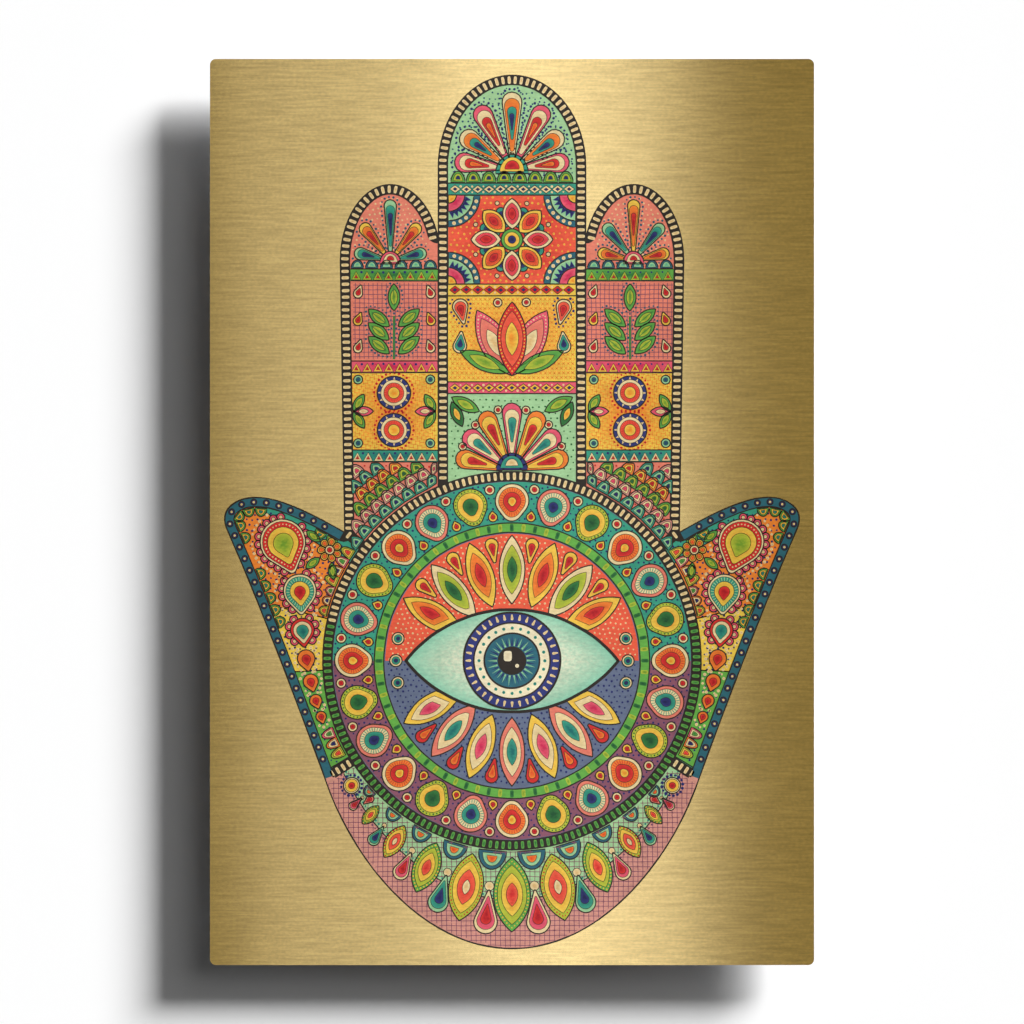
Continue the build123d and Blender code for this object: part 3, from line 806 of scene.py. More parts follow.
@dataclass
class Press:
    """Collects one region's films of ink by tone, and makes one mesh of each tone.

    A recipe such as "cream, red .5" names a motif's nested fills and their shares of its size.
    """

    region: str
    face: float
    inks: dict[Tone, bpy.types.Material]
    first_height: float = 0.113
    step: float = 0.012
    thickness: float = 0.05
    keyline: float = 0.8
    inner_line: float = 0.36
    wobble: float = 0.22
    jobs: dict[Tone, list] = field(default_factory=dict)

    def drift(self, points: Array) -> Array:
        """Moves points as an unsteady hand does, by the sum of two slow sine waves along each axis.

        Args:
            points: the points.

        Returns:
            The moved points.
        """
        x, z = points[..., 0], points[..., 1]
        shift_x = np.sin(z / 7.3 + x / 17.0) + 0.6 * np.sin(z / 3.1 - x / 5.2 + 1.3)
        shift_z = np.sin(x / 6.7 - z / 19.0 + 0.7) + 0.6 * np.sin(x / 2.9 + z / 4.7)
        return points + self.wobble / 2 * np.stack([shift_x, shift_z], -1)

    def band(self, outer: Array, inner: Array, tone: Tone, level: int, closed: bool = False) -> None:
        """Adds strips of ink between matching outer and inner lines."""
        self.jobs.setdefault(tone, []).append((self.drift(outer), self.drift(inner), level, closed))

    def fill(self, loops: Array, tone: Tone, level: int, heart: bool = True) -> None:
        """Adds filled loops, copies by count by 2.

        Args:
            loops: the closed loops.
            tone: their ink.
            level: their level above the sheet.
            heart: whether the ink deepens towards each loop's middle.
        """
        if len(loops):
            loops = anticlockwise(loops)
            middle = self.drift(area_centre(loops)) if heart else None
            self.jobs.setdefault(tone, []).append((self.drift(loops), middle, level, None))

    def stroke(self, loops: Array, tone: Tone, level: int, width: float | None = None) -> None:
        """Adds a pen line round closed loops.

        Args:
            loops: the loops.
            tone: its ink.
            level: its level.
            width: its width, or that of the keyline.
        """
        if len(loops):
            loops = anticlockwise(loops)
            side = outward(loops) * (width or self.keyline) / 2
            self.band(loops + side, loops - side, tone, level, True)

    def line(self, lines: Array, tone: Tone, level: int, width: float | None = None) -> None:
        """Adds open pen lines with square ends.

        Args:
            lines: the lines, copies by count by 2.
            tone: their ink.
            level: their level.
            width: their width, or that of the keyline.
        """
        if len(lines):
            side = rightward(np.gradient(lines, axis=1)) * (width or self.keyline) / 2
            self.band(lines + side, lines - side, tone, level)

    def motif(self, loops: Array, recipe: str, level: int = MOTIF, width: float | None = None) -> None:
        """Adds nested fills under one keyline.

        Args:
            loops: the motif's outer loops.
            recipe: the fills' tones and shares, largest first.
            level: the lowest fill's level.
            width: the keyline's width.
        """
        if not len(loops):
            return
        fills, middle = recipe.split(", "), area_centre(loops)
        for number, words in enumerate(fills):
            name, _, share = words.partition(" ")
            inner = middle + (loops - middle) * float(share or 1)
            self.fill(inner, Tone[name.upper()], level + number)
            if number:
                self.stroke(inner, Tone.BLACK, level + len(fills), self.inner_line)
        self.stroke(loops, Tone.BLACK, level + len(fills), width)

    def in_turn(self, loops: Array, recipes: Sequence[str], level: int = MOTIF) -> None:
        """Adds motifs that take the recipes in turn."""
        for number, recipe in enumerate(recipes):
            self.motif(loops[number :: len(recipes)], recipe, level)

    def ribs(self, loops: Array, shares: Pair, tone: Tone, level: int) -> None:
        """Adds short lines across a ring of each loop, from its middle outwards.

        Args:
            loops: the loops.
            shares: where the lines start and end, as shares of the loop's size.
            tone: their ink.
            level: their level.
        """
        loops = evened(loops, 30)
        middle = area_centre(loops)[:, :, None]
        lines = middle + (loops[:, :, None] - middle) * np.array(shares)[:, None]
        self.line(lines.reshape(-1, 2, 2), tone, level, 0.5)

    def beads(self, loops: Array, share: float, tone: Tone, level: int) -> None:
        """Adds a row of small dots round each loop, drawn in to a share of its size."""
        middle = area_centre(loops)
        self.dots(spaced(middle + (loops - middle) * share, 0, 2.3), 0.55, tone, level, 7)

    def dots(self, points: Array, radius: float, tone: Tone, level: int = MOTIF, count: int = 8) -> None:
        """Adds round dots of count sides, whose size wavers by the sine of their place."""
        spread = 1 + 0.18 * np.sin(points[:, 0] * 12.9 + points[:, 1] * 78.2)
        self.fill(placed(circle(radius, count), *points.T, 0, spread), tone, level)

    def rings(self, points: Array, radius: float, recipe: str, level: int = MOTIF) -> None:
        """Adds ringed dots: nested circles under a keyline."""
        self.motif(placed(circle(radius, 16), *points.T), recipe, level)

    def stipple(self, points: Array, holds: Mask, radius: float, tone: Tone) -> None:
        """Adds ground dots where a field holds them, each nudged off its grid."""
        points = points + 0.5 * np.stack([np.sin(points[:, 1] * 5.1), np.sin(points[:, 0] * 4.3)], -1)
        self.dots(points[holds(points)], radius, tone, GROUND + 1, 7)

    def net(
        self, points: Array, holds: Mask, spacing: float, turns: Numbers, tone: Tone, level: int = GROUND + 1
    ) -> None:
        """Adds crossed hatching: touching dashes, each cut where the field ends, by eighths.

        Args:
            points: the dashes' middles.
            holds: the field's test.
            spacing: each dash's length.
            turns: the dashes' directions in degrees.
            tone: their ink.
            level: their level.
        """
        for turn in turns:
            ahead, steps = spacing * ray(turn), np.arange(-4, 5) / 8
            held = holds(points[:, None] + steps[:, None] * ahead)
            near = 1 - np.cumprod(held[:, 4::-1], axis=1).sum(axis=1)
            far = np.cumprod(held[:, 4:], axis=1).sum(axis=1) - 1
            ends = points[:, None] + np.stack([near, far], 1)[..., None] / 8 * ahead
            self.line(ends[held[:, 4] & (far > near)], tone, level, 0.45)

    def solid(self, job: tuple) -> tuple[Array, Array, Array, Array]:
        """Makes one job's films: a face towards the viewer, its copy behind, and walls between.

        Args:
            job: the outer lines, the inner lines or the loops' middles or nothing, the level, and
                whether the lines are closed, with nothing for filled loops.

        Returns:
            The vertices in metres, every face's vertex numbers in one row, each face's count, and
            how deep each vertex's colour is.
        """
        outer, inner, level, closed = job
        filled = closed is None
        hearted = filled and inner is not None
        lines = outer if filled else np.concatenate([outer, inner[:, ::-1]], axis=1)
        copies, count, _ = lines.shape
        front = -(self.face + self.first_height + self.step * level)
        rings = [(lines, front), (lines, front + self.thickness)] + [(inner, front)] * hearted
        points = np.concatenate([ring for ring, _ in rings], axis=1)
        depth = np.concatenate([np.full(ring.shape[1], y) for ring, y in rings])
        depth = np.broadcast_to(depth, points.shape[:2])
        vertices = np.stack([points[..., 0], depth, points[..., 1]], -1).reshape(-1, 3) * METRE

        def wall(a: Array, b: Array) -> Array:
            """Quads that join front edges from a to b to their copies behind."""
            return np.stack([a, a + count, b + count, b], -1).ravel()

        a = np.arange(count)
        b, half = (a + 1) % count, count // 2
        if hearted:
            fan_faces = np.stack([a, b, np.full(count, 2 * count)], -1).ravel()
            faces, sizes = [fan_faces, a[::-1] + count, wall(a, b)], [3] * count + [count]
        elif filled:
            faces, sizes = [a, a[::-1] + count, wall(a, b)], [count, count]
        else:
            c = np.arange(half if closed else half - 1)
            d = (c + 1) % half
            strip = np.stack([c, d, count - 1 - d, count - 1 - c], -1)
            faces = [strip.ravel(), (strip[:, ::-1] + count).ravel()]
            faces += [wall(c, d), wall(count - 1 - d, count - 1 - c)] if closed else [wall(a, b)]
            sizes = [4] * (2 * len(strip))
        row, stride = np.concatenate(faces), points.shape[1]
        sizes += [4] * ((len(row) - sum(sizes)) // 4)
        hearts = np.zeros((copies, stride), np.float32)
        hearts[:, 2 * count :] = 1
        corners = row[None] + np.arange(copies)[:, None] * stride
        return vertices, corners.ravel(), np.tile(sizes, copies), hearts.ravel()

    def deliver(self, body: str) -> None:
        """Makes the region's meshes and dresses them.

        Args:
            body: the body that they ride on.
        """
        for tone, jobs in self.jobs.items():
            vertices, corners, sizes, hearts = zip(*(self.solid(job) for job in jobs))
            firsts = np.cumsum([0] + [len(v) for v in vertices[:-1]])
            corners = np.concatenate([c + first for c, first in zip(corners, firsts)])
            sizes = np.concatenate(sizes)
            name = f"{self.region}_{tone.name.lower()}"
            piece = mesh_object(name, np.concatenate(vertices), corners, sizes)
            depth = piece.data.attributes.new("heart", "FLOAT", "POINT")
            depth.data.foreach_set("value", np.concatenate(hearts))
            piece.data.materials.append(self.inks[tone])
            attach(piece, body)
            LOG.info("%s: %d faces", name, len(sizes))


@dataclass
class Region:
    """A part of the print with its own motifs, drawn on the plan through a press."""

    plan: HandPlan
    press: Press
    seam: float = 0.3

    def pair(self, loops: Array, recipe: str, level: int = MOTIF) -> None:
        """Adds motifs and their mirror images."""
        self.press.motif(both_sides(loops), recipe, level)

    def draw(self) -> None:
        """Draws the region's motifs."""
        raise NotImplementedError


@dataclass
class Border(Region):
    """The black band round the hand and between its fields, with its ticks and beads."""

    tick: Pair = (5.0, 2.1)
    tick_spacing: float = 4.3
    divider_ends: Pair = (2.2, 5.0)
    fork_shift: float = 3.4
    fork_turn: float = -14
    ring_ticks: int = 180
    ring_start: float = 1.25
    cream_angles: Pair = (12, 168)
    thumb_strip: Pair = (1.0, 0.8)
    bead_spacing: float = 8.6
    bead_radius: float = 2.0
    foot_strip: Pair = (1.1, 0.3)
    net_margins: Pair = (0.6, 1.3)
    field_margin: float = 1.8

    def ribbon(self, path: Path2D, insets: Pair, tone: Tone, level: int) -> None:
        """Lays a strip along both halves of the outline.

        Args:
            path: the right half's line.
            insets: how far into the hand the strip starts and ends.
            tone: its ink.
            level: its level.
        """
        outer, inner = (path.inset(distance) for distance in insets)
        for outside, inside in ((outer[::-1], inner[::-1]), (outer * MIRROR, inner * MIRROR)):
            self.press.band(outside[None], inside[None], tone, level)

    def ticks(self, path: Path2D, inset: float) -> None:
        """Sets cream ticks across a line drawn inside a path, and across its mirror image."""
        loops = placed(bead(*self.tick), *path.marks(self.tick_spacing, inset))
        self.press.fill(both_sides(loops), Tone.CREAM, RIM)

    def dividers(self) -> None:
        """Sets ticks on the strips between the fingers and beside the disc."""
        press, plan, (start, end) = self.press, self.plan, self.divider_ends
        x, head = plan.middle_half - plan.band / 2, plan.middle_edge.points[-1, 1]
        foot = plan.centre[1] + math.sqrt(plan.radius**2 - x**2) + 2
        shift = self.fork_shift
        fork = placed(bead(*self.tick), plan.middle_half + shift, head - shift, self.fork_turn)
        press.fill(both_sides(fork), Tone.CREAM, RIM)
        self.ticks(Path2D.through([np.array([(x, head), (x, foot)])]), 0)
        for angle in (plan.crotch_angle, plan.foot_angle):
            far = plan.reach(np.array([angle]), end)[0]
            radius = np.arange(plan.radius + start, far, self.tick_spacing)
            loops = radial(bead(*self.tick[::-1]), plan.centre, radius, [angle])
            press.fill(both_sides(loops), Tone.CREAM, RIM)

    def disc_ring(self) -> None:
        """Sets ticks round the palm's disc, cream above and green below."""
        angles = np.arange(self.ring_ticks) * 360 / self.ring_ticks + self.ring_start
        radius, (low, high) = self.plan.radius - self.plan.band / 2, self.cream_angles
        loops = radial(bead(*self.tick), self.plan.centre, radius, angles)
        upper = (angles > low) & (angles < high)
        self.press.fill(loops[upper], Tone.CREAM, RIM)
        self.press.fill(loops[~upper], Tone.GREEN, RIM)

    def draw(self) -> None:
        """Draws the ticks, the thumbs' blue strip with its beads, and the foot's hatched edge."""
        press, plan = self.press, self.plan
        for path in (plan.middle_edge, plan.side_edge):
            self.ticks(path, plan.band / 2)
        self.dividers()
        self.disc_ring()
        near, far = self.thumb_strip
        self.ribbon(plan.thumb_edge, (near, plan.band - far), Tone.LAGOON, RIM)
        x, z, _ = plan.thumb_edge.marks(self.bead_spacing, plan.band / 2)
        points = mirrored(np.stack([x, z], -1)[1:-1])
        press.rings(points, self.bead_radius, "navy, cream .5", RIM + 1)
        near, far = self.foot_strip
        self.ribbon(plan.base_edge, (near, plan.band + far), Tone.MAUVE, RIM)
        points = plan.grid(WEAVE, 0, 0)
        points = points[~plan.in_base(points, self.field_margin)]
        margin, rim = self.net_margins
        strip = partial(plan.in_base, margin=margin, rim=rim)
        press.net(points, strip, WEAVE, (0, 90), Tone.PLUM, RIM + 1)


@dataclass(frozen=True)
class FanRoom:
    """A fingertip's compartment: a fan on a heart, beads round it and domes along its foot.

    The ground's dots have a spacing, a radius and a tone; the halo's beads a distance from the
    petals, a spacing, a margin, a radius and a tone; the heart and feet a height, a width, how far
    they are sunk or raised, and a recipe.
    """

    angles: Row
    recipes: Recipes
    ground_dots: tuple
    halo: tuple
    heart: tuple
    feet: tuple
    foot_count: int
    lift: float = 0.22
    reach: Pair = (0.9, 0.92)


@dataclass
class Finger(Region):
    """A finger's compartments, with a cross band between each two."""

    bands: Row = ()
    band_thickness: float = 7.94
    root: float = -60.0

    def divide(self, foot: float, head: float) -> None:
        """Works out the foot and head of each compartment below, between and above the bands."""
        bands, edge = np.array(self.bands), self.band_thickness / 2
        self.rooms = list(zip((foot, *(bands + edge)), (*(bands - edge), head)))

    def inside(self, points: Array, margin: float) -> Array:
        """Whether points lie between the field's two sides by a margin."""
        raise NotImplementedError

    def holds(self, room: int, margin: float = 1.5) -> Mask:
        """The test for points well inside one compartment, the lowest running down to the disc."""
        low, high = self.rooms[room] if room else (self.root, self.rooms[0][1])
        return lambda p: self.inside(p, margin) & self.plan.in_finger(p, low, high, margin)

    def strip(self, loops: Array, tone: Tone) -> None:
        """Lays a cross band's ground and its outline."""
        self.press.fill(loops, tone, MOTIF)
        self.press.stroke(loops, Tone.BLACK, MOTIF + 3)

    def fan_room(self, look: FanRoom, x: float, half: float, feet_x: Array, twice: bool) -> None:
        """Draws the topmost compartment.

        Args:
            look: its sizes and colours.
            x: its middle.
            half: its half width.
            feet_x: where the domes along its foot stand.
            twice: whether it is drawn again on the other side of the hand.
        """
        press, (foot, head) = self.press, self.rooms[-1]
        room = len(self.rooms) - 1
        sides, dots = (both_sides, mirrored) if twice else (np.asarray, np.asarray)
        spacing, size, tone = look.ground_dots
        press.stipple(self.plan.grid(spacing), self.holds(room), size, tone)
        lift = foot + look.lift * half
        petals = fan((x, lift), look.reach[0] * half, look.reach[1] * (head - lift), look.angles)
        away, spacing, margin, size, tone = look.halo
        halo = spaced(petals, away, spacing)
        press.dots(dots(halo[self.holds(room, margin)(halo)]), size, tone)
        press.in_turn(sides(petals), look.recipes)
        height, width, drop_below, recipe = look.heart
        heart = placed(dome(height, width), x, lift - drop_below, 90)
        press.motif(sides(heart), recipe, MOTIF + 4)
        height, width, raised, recipe = look.feet
        feet = placed(dome(height, width), feet_x, foot + raised, 90)
        press.motif(sides(feet), recipe, MOTIF + 4)


@dataclass
class MiddleFinger(Finger):
    """The middle finger's stack: crown, tulip, flower and fan, with patterned bands between."""

    bands: Row = (83.56, 149.47, 217.14)
    crown_angles: Row = (14, 39, 64, 90, 116, 141, 166)
    crown_reach: Pair = (0.9, 0.88)
    crown_heart: Pair = (11.5, 21)
    crown_beads: Pair = (0.93, 2.7)
    corner_leaves: tuple = (
        ((21, 8.5), 2.4, 207, "green, lime .6"),
        ((18, 7.5), 5.5, 246, "forest, yellow .5"),
    )
    tulip_net: float = 3.1
    tulip_angles: Row = (62, 118, 90)
    tulip_foot: float = 0.07
    bud_shares: Pair = (0.86, 0.34)
    side_leaf: Pair = (36, 11.5)
    foot_drop: Row = (9, 4.6, 0.9)
    head_drop: Row = (11, 5.2, 1.0)
    flower_petals: int = 8
    flower_heart: float = 0.12
    flower_reach: Pair = (0.46, 0.21)
    quarters: tuple = ((21.5, "lagoon"), (17.2, "mint"), (11.0, "pink"), (5.4, "yellow"))
    diamond: Pair = (7.2, 5.4)
    diamond_pitch: float = 5.6
    fan_look: FanRoom = FanRoom(
        angles=(8, 35, 62, 90, 118, 145, 172),
        recipes=("pink, cream .78, red .5, orange .26", "cream, orange .78, teal .48, navy .24"),
        ground_dots=(3.8, 0.62, Tone.LAGOON),
        halo=(2.3, 3.3, 1.4, 0.8, Tone.NAVY),
        heart=(13, 22, 3.0, "teal, yellow .74, red .45"),
        feet=(7.6, 9.6, 0.5, "green, lime .66, navy .3"),
        foot_count=8,
    )

    def __post_init__(self) -> None:
        """Works out the field's half width and the compartments."""
        plan = self.plan
        self.half = plan.middle_half - plan.band
        self.divide(plan.centre[1] + plan.radius, plan.height / 2 - plan.band)

    def inside(self, points: Array, margin: float) -> Array:
        """Whether points lie between the field's two sides by a margin."""
        return np.abs(points[..., 0]) < self.half - margin

    def crown(self) -> None:
        """Draws the crown of petals that stands on the disc, and its corners."""
        press, (foot, head), (wide, high) = self.press, self.rooms[0], self.crown_reach
        press.stipple(self.plan.grid(4.2), self.holds(0), 0.62, Tone.FOREST)
        reach = (wide * self.half, high * (head - foot))
        petals = fan((0, foot), *reach, self.crown_angles)
        press.in_turn(petals, ("orange, yellow .74, red .4", "pink, cream .74, teal .42"))
        heart = placed(dome(*self.crown_heart), 0, foot + 0.6, 90)
        press.motif(heart, "navy, teal .72, cream .4", MOTIF + 3)
        turns = ray(np.convolve(self.crown_angles, (0.5, 0.5), "valid"))
        share, size = self.crown_beads
        points = (0, foot) + share / np.linalg.norm(turns / reach, axis=1)[:, None] * turns
        press.rings(points, size, "cream, red .5")
        for shape, below, turn, recipe in self.corner_leaves:
            self.pair(placed(leaf(*shape), self.half - 2.2, head - below, turn), recipe, MOTIF + 3)

    def tulip(self) -> None:
        """Draws the tulip, its curling leaves and the drops beside it."""
        press, (foot, head), net = self.press, self.rooms[1], self.tulip_net
        press.fill(rectangle(-self.half, foot, self.half, head), Tone.YELLOW, GROUND)
        press.net(self.plan.grid(net), self.holds(1, 0.5), net, (45, -45), Tone.ORANGE)
        height = head - foot
        bud = leaf(*(share * height for share in self.bud_shares))
        root = foot + self.tulip_foot * height
        buds = placed(bud, 0, root, self.tulip_angles)
        press.motif(buds[:2], "pink, salmon .75, cream .42")
        press.motif(buds[2:], "red, coral .76, yellow .45", MOTIF + 4)
        press.beads(buds[:2], 0.87, Tone.CREAM, MOTIF + 1)
        press.beads(buds[2:], 0.88, Tone.YELLOW, MOTIF + 5)
        self.pair(placed(leaf(*self.side_leaf), 2, root + 2, 24), "green, lime .62", MOTIF + 3)
        drops = placed(drop(*self.foot_drop), self.half - 7.8, foot + 24, 96)
        self.pair(drops, "cream, teal .74, navy .36")
        drops = both_sides(placed(drop(*self.head_drop), self.half - 8.2, head - 7.4, 258))
        press.motif(drops, "cream, coral .76, red .42")
        points = spaced(drops, 1.9, 3.0)
        press.dots(points[self.holds(1, 1.2)(points)], 0.8, Tone.NAVY)
        press.rings(mirrored(np.array([(9.5, head - 4.6)])), 2.9, "cream, red .5", MOTIF + 4)

    def flower(self) -> None:
        """Draws the eight-petalled flower with small petals between, and the corners."""
        press, (foot, head) = self.press, self.rooms[2]
        press.fill(rectangle(-self.half, foot, self.half, head), Tone.CORAL, GROUND)
        press.stipple(self.plan.grid(4.0), self.holds(2), 0.7, Tone.YELLOW)
        height, middle, (length, width) = head - foot, (0, (foot + head) / 2), self.flower_reach
        heart, half_step = self.flower_heart * height, 180 / self.flower_petals
        turn = np.arange(self.flower_petals) * 2 * half_step
        loops = radial(leaf(length * height - heart, width * height), middle, heart, turn)
        between = radial(drop(9.5, 1.2, 3.3), middle, heart + 3, turn + half_step)
        press.motif(between, "teal, navy .55")
        press.in_turn(loops, ("cream, pink .72, red .4", "yellow, orange .72, red .36"), MOTIF + 3)
        press.ribs(loops[::2], (0.43, 0.69), Tone.RED, MOTIF + 5)
        press.ribs(loops[1::2], (0.39, 0.69), Tone.RED, MOTIF + 5)
        tips = radial(circle(1.5, 10), middle, heart + 19.2, turn + half_step)
        press.motif(tips, "cream", MOTIF, 0.6)
        press.motif(placed(circle(heart, 28), *middle), "green, yellow .7, navy .36", MOTIF + 7)
        self.quarter((self.half, foot), 90)
        self.quarter((self.half, head), 180)

    def quarter(self, hub: Pair, start: float) -> None:
        """Draws nested quarter circles in a corner and in the one opposite.

        Args:
            hub: the corner.
            start: the direction of the quarter's first edge in degrees.
        """
        for number, (radius, tone) in enumerate(self.quarters):
            rim = hub + radius * ray(np.linspace(start, start + 90, 20))
            self.pair(np.concatenate([[hub], rim])[None], tone, MOTIF + 2 * number)
        turns = np.linspace(start + 12, start + 78, 6)
        self.press.fill(both_sides(radial(circle(1.3, 9), hub, 19.3, turns)), Tone.CREAM, MOTIF + 3)
        teeth = radial(wedge(4.6, 3.8), hub, 11.4, turns)
        self.press.fill(both_sides(teeth), Tone.NAVY, MOTIF + 4)

    def cross_bands(self) -> None:
        """Fills the cross bands with diamonds between two rows of dots."""
        press, edge = self.press, self.band_thickness / 2
        tones = ((Tone.PINK, "yellow"), (Tone.YELLOW, "red"), (Tone.TEAL, "cream"))
        for height, (ground, core) in zip(self.bands, tones):
            self.strip(rectangle(-self.half, height - edge, self.half, height + edge), ground)
            x = np.arange(-5, 6) * self.half / self.diamond_pitch
            diamonds = placed(lozenge(*self.diamond), x, height)
            press.motif(diamonds, f"{core}, navy .4", MOTIF + 1, 0.6)
            x = np.arange(-4.5, 4.6) * self.half / self.diamond_pitch
            for shift in (-1.9, 1.9):
                points = np.stack([x, np.full(len(x), height + shift)], -1)
                press.dots(points, 0.75, Tone.CREAM, MOTIF + 1)

    def draw(self) -> None:
        """Draws the finger from its foot to its tip."""
        for step in (self.crown, self.tulip, self.flower):
            step()
        count = self.fan_look.foot_count
        feet_x = (np.arange(count) - 3.5) * self.half / 4.15
        self.fan_room(self.fan_look, 0, self.half, feet_x, False)
        self.cross_bands()


@dataclass
class SideFingers(Finger):
    """The two side fingers, mirror images: scales, roundels, a sprig and a fan."""

    bands: Row = (37.66, 97.69, 159.47)
    scale_step: float = 8.2
    scale_width: float = 8.9
    scale_rows: int = 8
    scale_foot: float = -21
    foot_slope: float = 0.05
    scale_recipes: Recipes = (
        "teal, mint .66, navy .3",
        "mauve, cream .66, pink .34",
        "green, lime .66, forest .3",
        "orange, yellow .66, red .34",
    )
    roundel_net: float = 2.9
    roundel_share: float = 0.215
    roundel_heights: Pair = (0.26, 0.74)
    roundel_leaf: Pair = (13.5, 6.4)
    corner_bead: float = 3.0
    sprig_net: float = 3.0
    sprig_leans: Row = (40, 140)
    sprig_leaf: Pair = (0.34, 0.15)
    sprig_rise: Pair = (0.04, 0.17)
    stalk: Pair = (0.56, 1.4)
    bud: Row = (5.4, 3.1, 0.7)
    tooth: Pair = (5.6, 6.2)
    teeth: int = 8
    fan_look: FanRoom = FanRoom(
        angles=(12, 51, 90, 129, 168),
        recipes=("yellow, orange .74, red .4", "mint, teal .74, navy .4"),
        ground_dots=(3.4, 0.6, Tone.CREAM),
        halo=(2.0, 3.0, 1.2, 0.75, Tone.LAGOON),
        heart=(8.5, 14, 2.4, "pink, cream .66, red .34"),
        feet=(5.6, 8.4, 0.4, "lagoon, mint .62"),
        foot_count=6,
    )

    def __post_init__(self) -> None:
        """Works out the column's sides and middle and the compartments."""
        plan = self.plan
        self.near, self.far = plan.middle_half, plan.side_x + plan.side_half - plan.band
        self.x = (self.near + self.far) / 2
        self.divide(self.root, plan.side_top_share * plan.height - plan.band)

    def inside(self, points: Array, margin: float) -> Array:
        """Whether points lie between the two sides of either finger's field by a margin."""
        x, slope = np.abs(points[..., 0]), np.maximum(-points[..., 1], 0) * self.foot_slope
        return (x > self.near + margin) & (x < self.far - margin - slope)

    def scales(self) -> None:
        """Draws fish scales that spread from the disc up to the first band."""
        press, plan, step = self.press, self.plan, self.scale_step
        holds = self.holds(0, 0.7)
        press.stipple(plan.grid(3.6), self.holds(0), 0.65, Tone.RED)
        low, high = (self.near + 0.7, self.root), (self.far - 0.9, self.rooms[0][1] - 0.7)
        for row in range(self.scale_rows):
            radius = plan.radius + 0.9 + row * step * 0.8
            count = int(2 * math.pi * radius / 9.2)
            angles = (np.arange(count) + row % 2 / 2) * 360 / count
            loops = radial(dome(step, self.scale_width), plan.centre, radius, angles)
            middle = loops.mean(axis=1)
            loops = loops[holds(middle) & (middle[:, 0] > 0) & (middle[:, 1] > self.scale_foot)]
            self.pair(np.clip(loops, low, high), self.scale_recipes[row % 4], MOTIF + 8 - row)

    def roundels(self) -> None:
        """Draws the two roundels, with a halo of dots and leaves at their sides."""
        press, (foot, head), net = self.press, self.rooms[1], self.roundel_net
        ground = rectangle(self.near, foot, self.far - 0.8, head)
        press.fill(both_sides(ground), Tone.YELLOW, GROUND)
        for slant, turn in ((45, 0), (0, 90)):
            press.net(self.plan.grid(net, slant), self.holds(1, 0.5), net, (turn,), Tone.ORANGE)
        radius = self.roundel_share * (head - foot)
        z = foot + np.array(self.roundel_heights) * (head - foot)
        loops = both_sides(placed(circle(radius, 32), self.x, z))
        press.dots(spaced(loops, 2.1, 2.9), 0.8, Tone.RED)
        press.motif(loops, "navy, cream .78, coral .6, yellow .34")
        press.ribs(loops, (0.37, 0.57), Tone.RED, MOTIF + 3)
        for level in z:
            spokes = radial(wedge(1.9, 1.5), (self.x, level), radius * 0.8, np.arange(12) * 30)
            press.fill(both_sides(spokes), Tone.CREAM, MOTIF + 5)
        for x, turns in ((self.near + 1.6, (58, -58, 0)), (self.far - 2.2, (122, 238, 180))):
            leaves = placed(leaf(*self.roundel_leaf), x, (foot + head) / 2, turns)
            self.pair(leaves[:2], "green, lime .6")
            self.pair(leaves[2:], "pink, cream .5")
        corners = [(x, y) for x in (self.near + 5, self.far - 5.4) for y in (foot + 4.6, head - 4.6)]
        press.rings(mirrored(np.array(corners)), self.corner_bead, "mint, lagoon .5")

    def sprig(self) -> None:
        """Draws the sprig's leaves with their veins, a stalk and buds at its sides."""
        press, (foot, head), net = self.press, self.rooms[2], self.sprig_net
        press.net(self.plan.grid(net, 0, 0), self.holds(2, 0.5), net, (0, 90), Tone.PLUM)
        height, (low, step), (top, stem) = head - foot, self.sprig_rise, self.stalk
        length, width = (share * height for share in self.sprig_leaf)
        spots = [(pair, lean) for pair in range(3) for lean in self.sprig_leans] + [(3, 90)]
        rows = (((self.x, foot + (low + step * pair) * height), lean) for pair, lean in spots)
        rows = [radial(leaf(length, width), spot, width / 2, [lean]) for spot, lean in rows]
        leaves = np.concatenate(rows)
        stalk = np.array([[(self.x, foot + 1), (self.x, foot + top * height)]])
        press.line(both_sides(stalk), Tone.FOREST, MOTIF, stem)
        halo = spaced(leaves, 1.9, 2.8)
        halo = halo[clear_of(halo[:, None], leaves, 1.5)]
        halo = halo[(halo[:, 1] > foot + 1.4) & (halo[:, 1] < head - 1.4)]
        press.dots(mirrored(halo), 0.7, Tone.LAGOON)
        leaves = both_sides(leaves)
        press.motif(leaves, "green, lime .6", MOTIF + 1)
        veins = leaves[:, [0, leaves.shape[1] // 2]]
        middle = veins.mean(axis=1, keepdims=True)
        press.line(middle + (veins - middle) * 0.7, Tone.FOREST, MOTIF + 5, 0.5)
        for share, tone in ((0.16, "cream"), (0.5, "yellow"), (0.84, "cream")):
            x = (self.near + 4.6, self.far - 5.2)
            buds = placed(drop(*self.bud), x, foot + share * height, (70, 110))
            self.pair(buds, f"{tone}, red .56")

    def cross_bands(self) -> None:
        """Fills the cross bands with teeth and dots."""
        press, edge, count = self.press, self.band_thickness / 2, self.teeth
        tones = ((Tone.TEAL, "cream"), (Tone.PINK, "yellow"), (Tone.GREEN, "lime"))
        for height, (ground, tooth) in zip(self.bands, tones):
            far = self.far - (1.4 if height == self.bands[0] else 0.4)
            self.strip(both_sides(rectangle(self.near, height - edge, far, height + edge)), ground)
            width = (far - self.near) / count
            x = self.near + (np.arange(count) + 0.5) * width
            teeth = both_sides(placed(wedge(*self.tooth), x, height - edge + 0.7, 90))
            press.motif(teeth, f"{tooth}, red .42", MOTIF + 1, 0.55)
            points = np.stack([x[:-1] + width / 2, np.full(count - 1, height + edge - 2.1)], -1)
            press.dots(mirrored(points), 0.8, Tone.NAVY, MOTIF + 1)

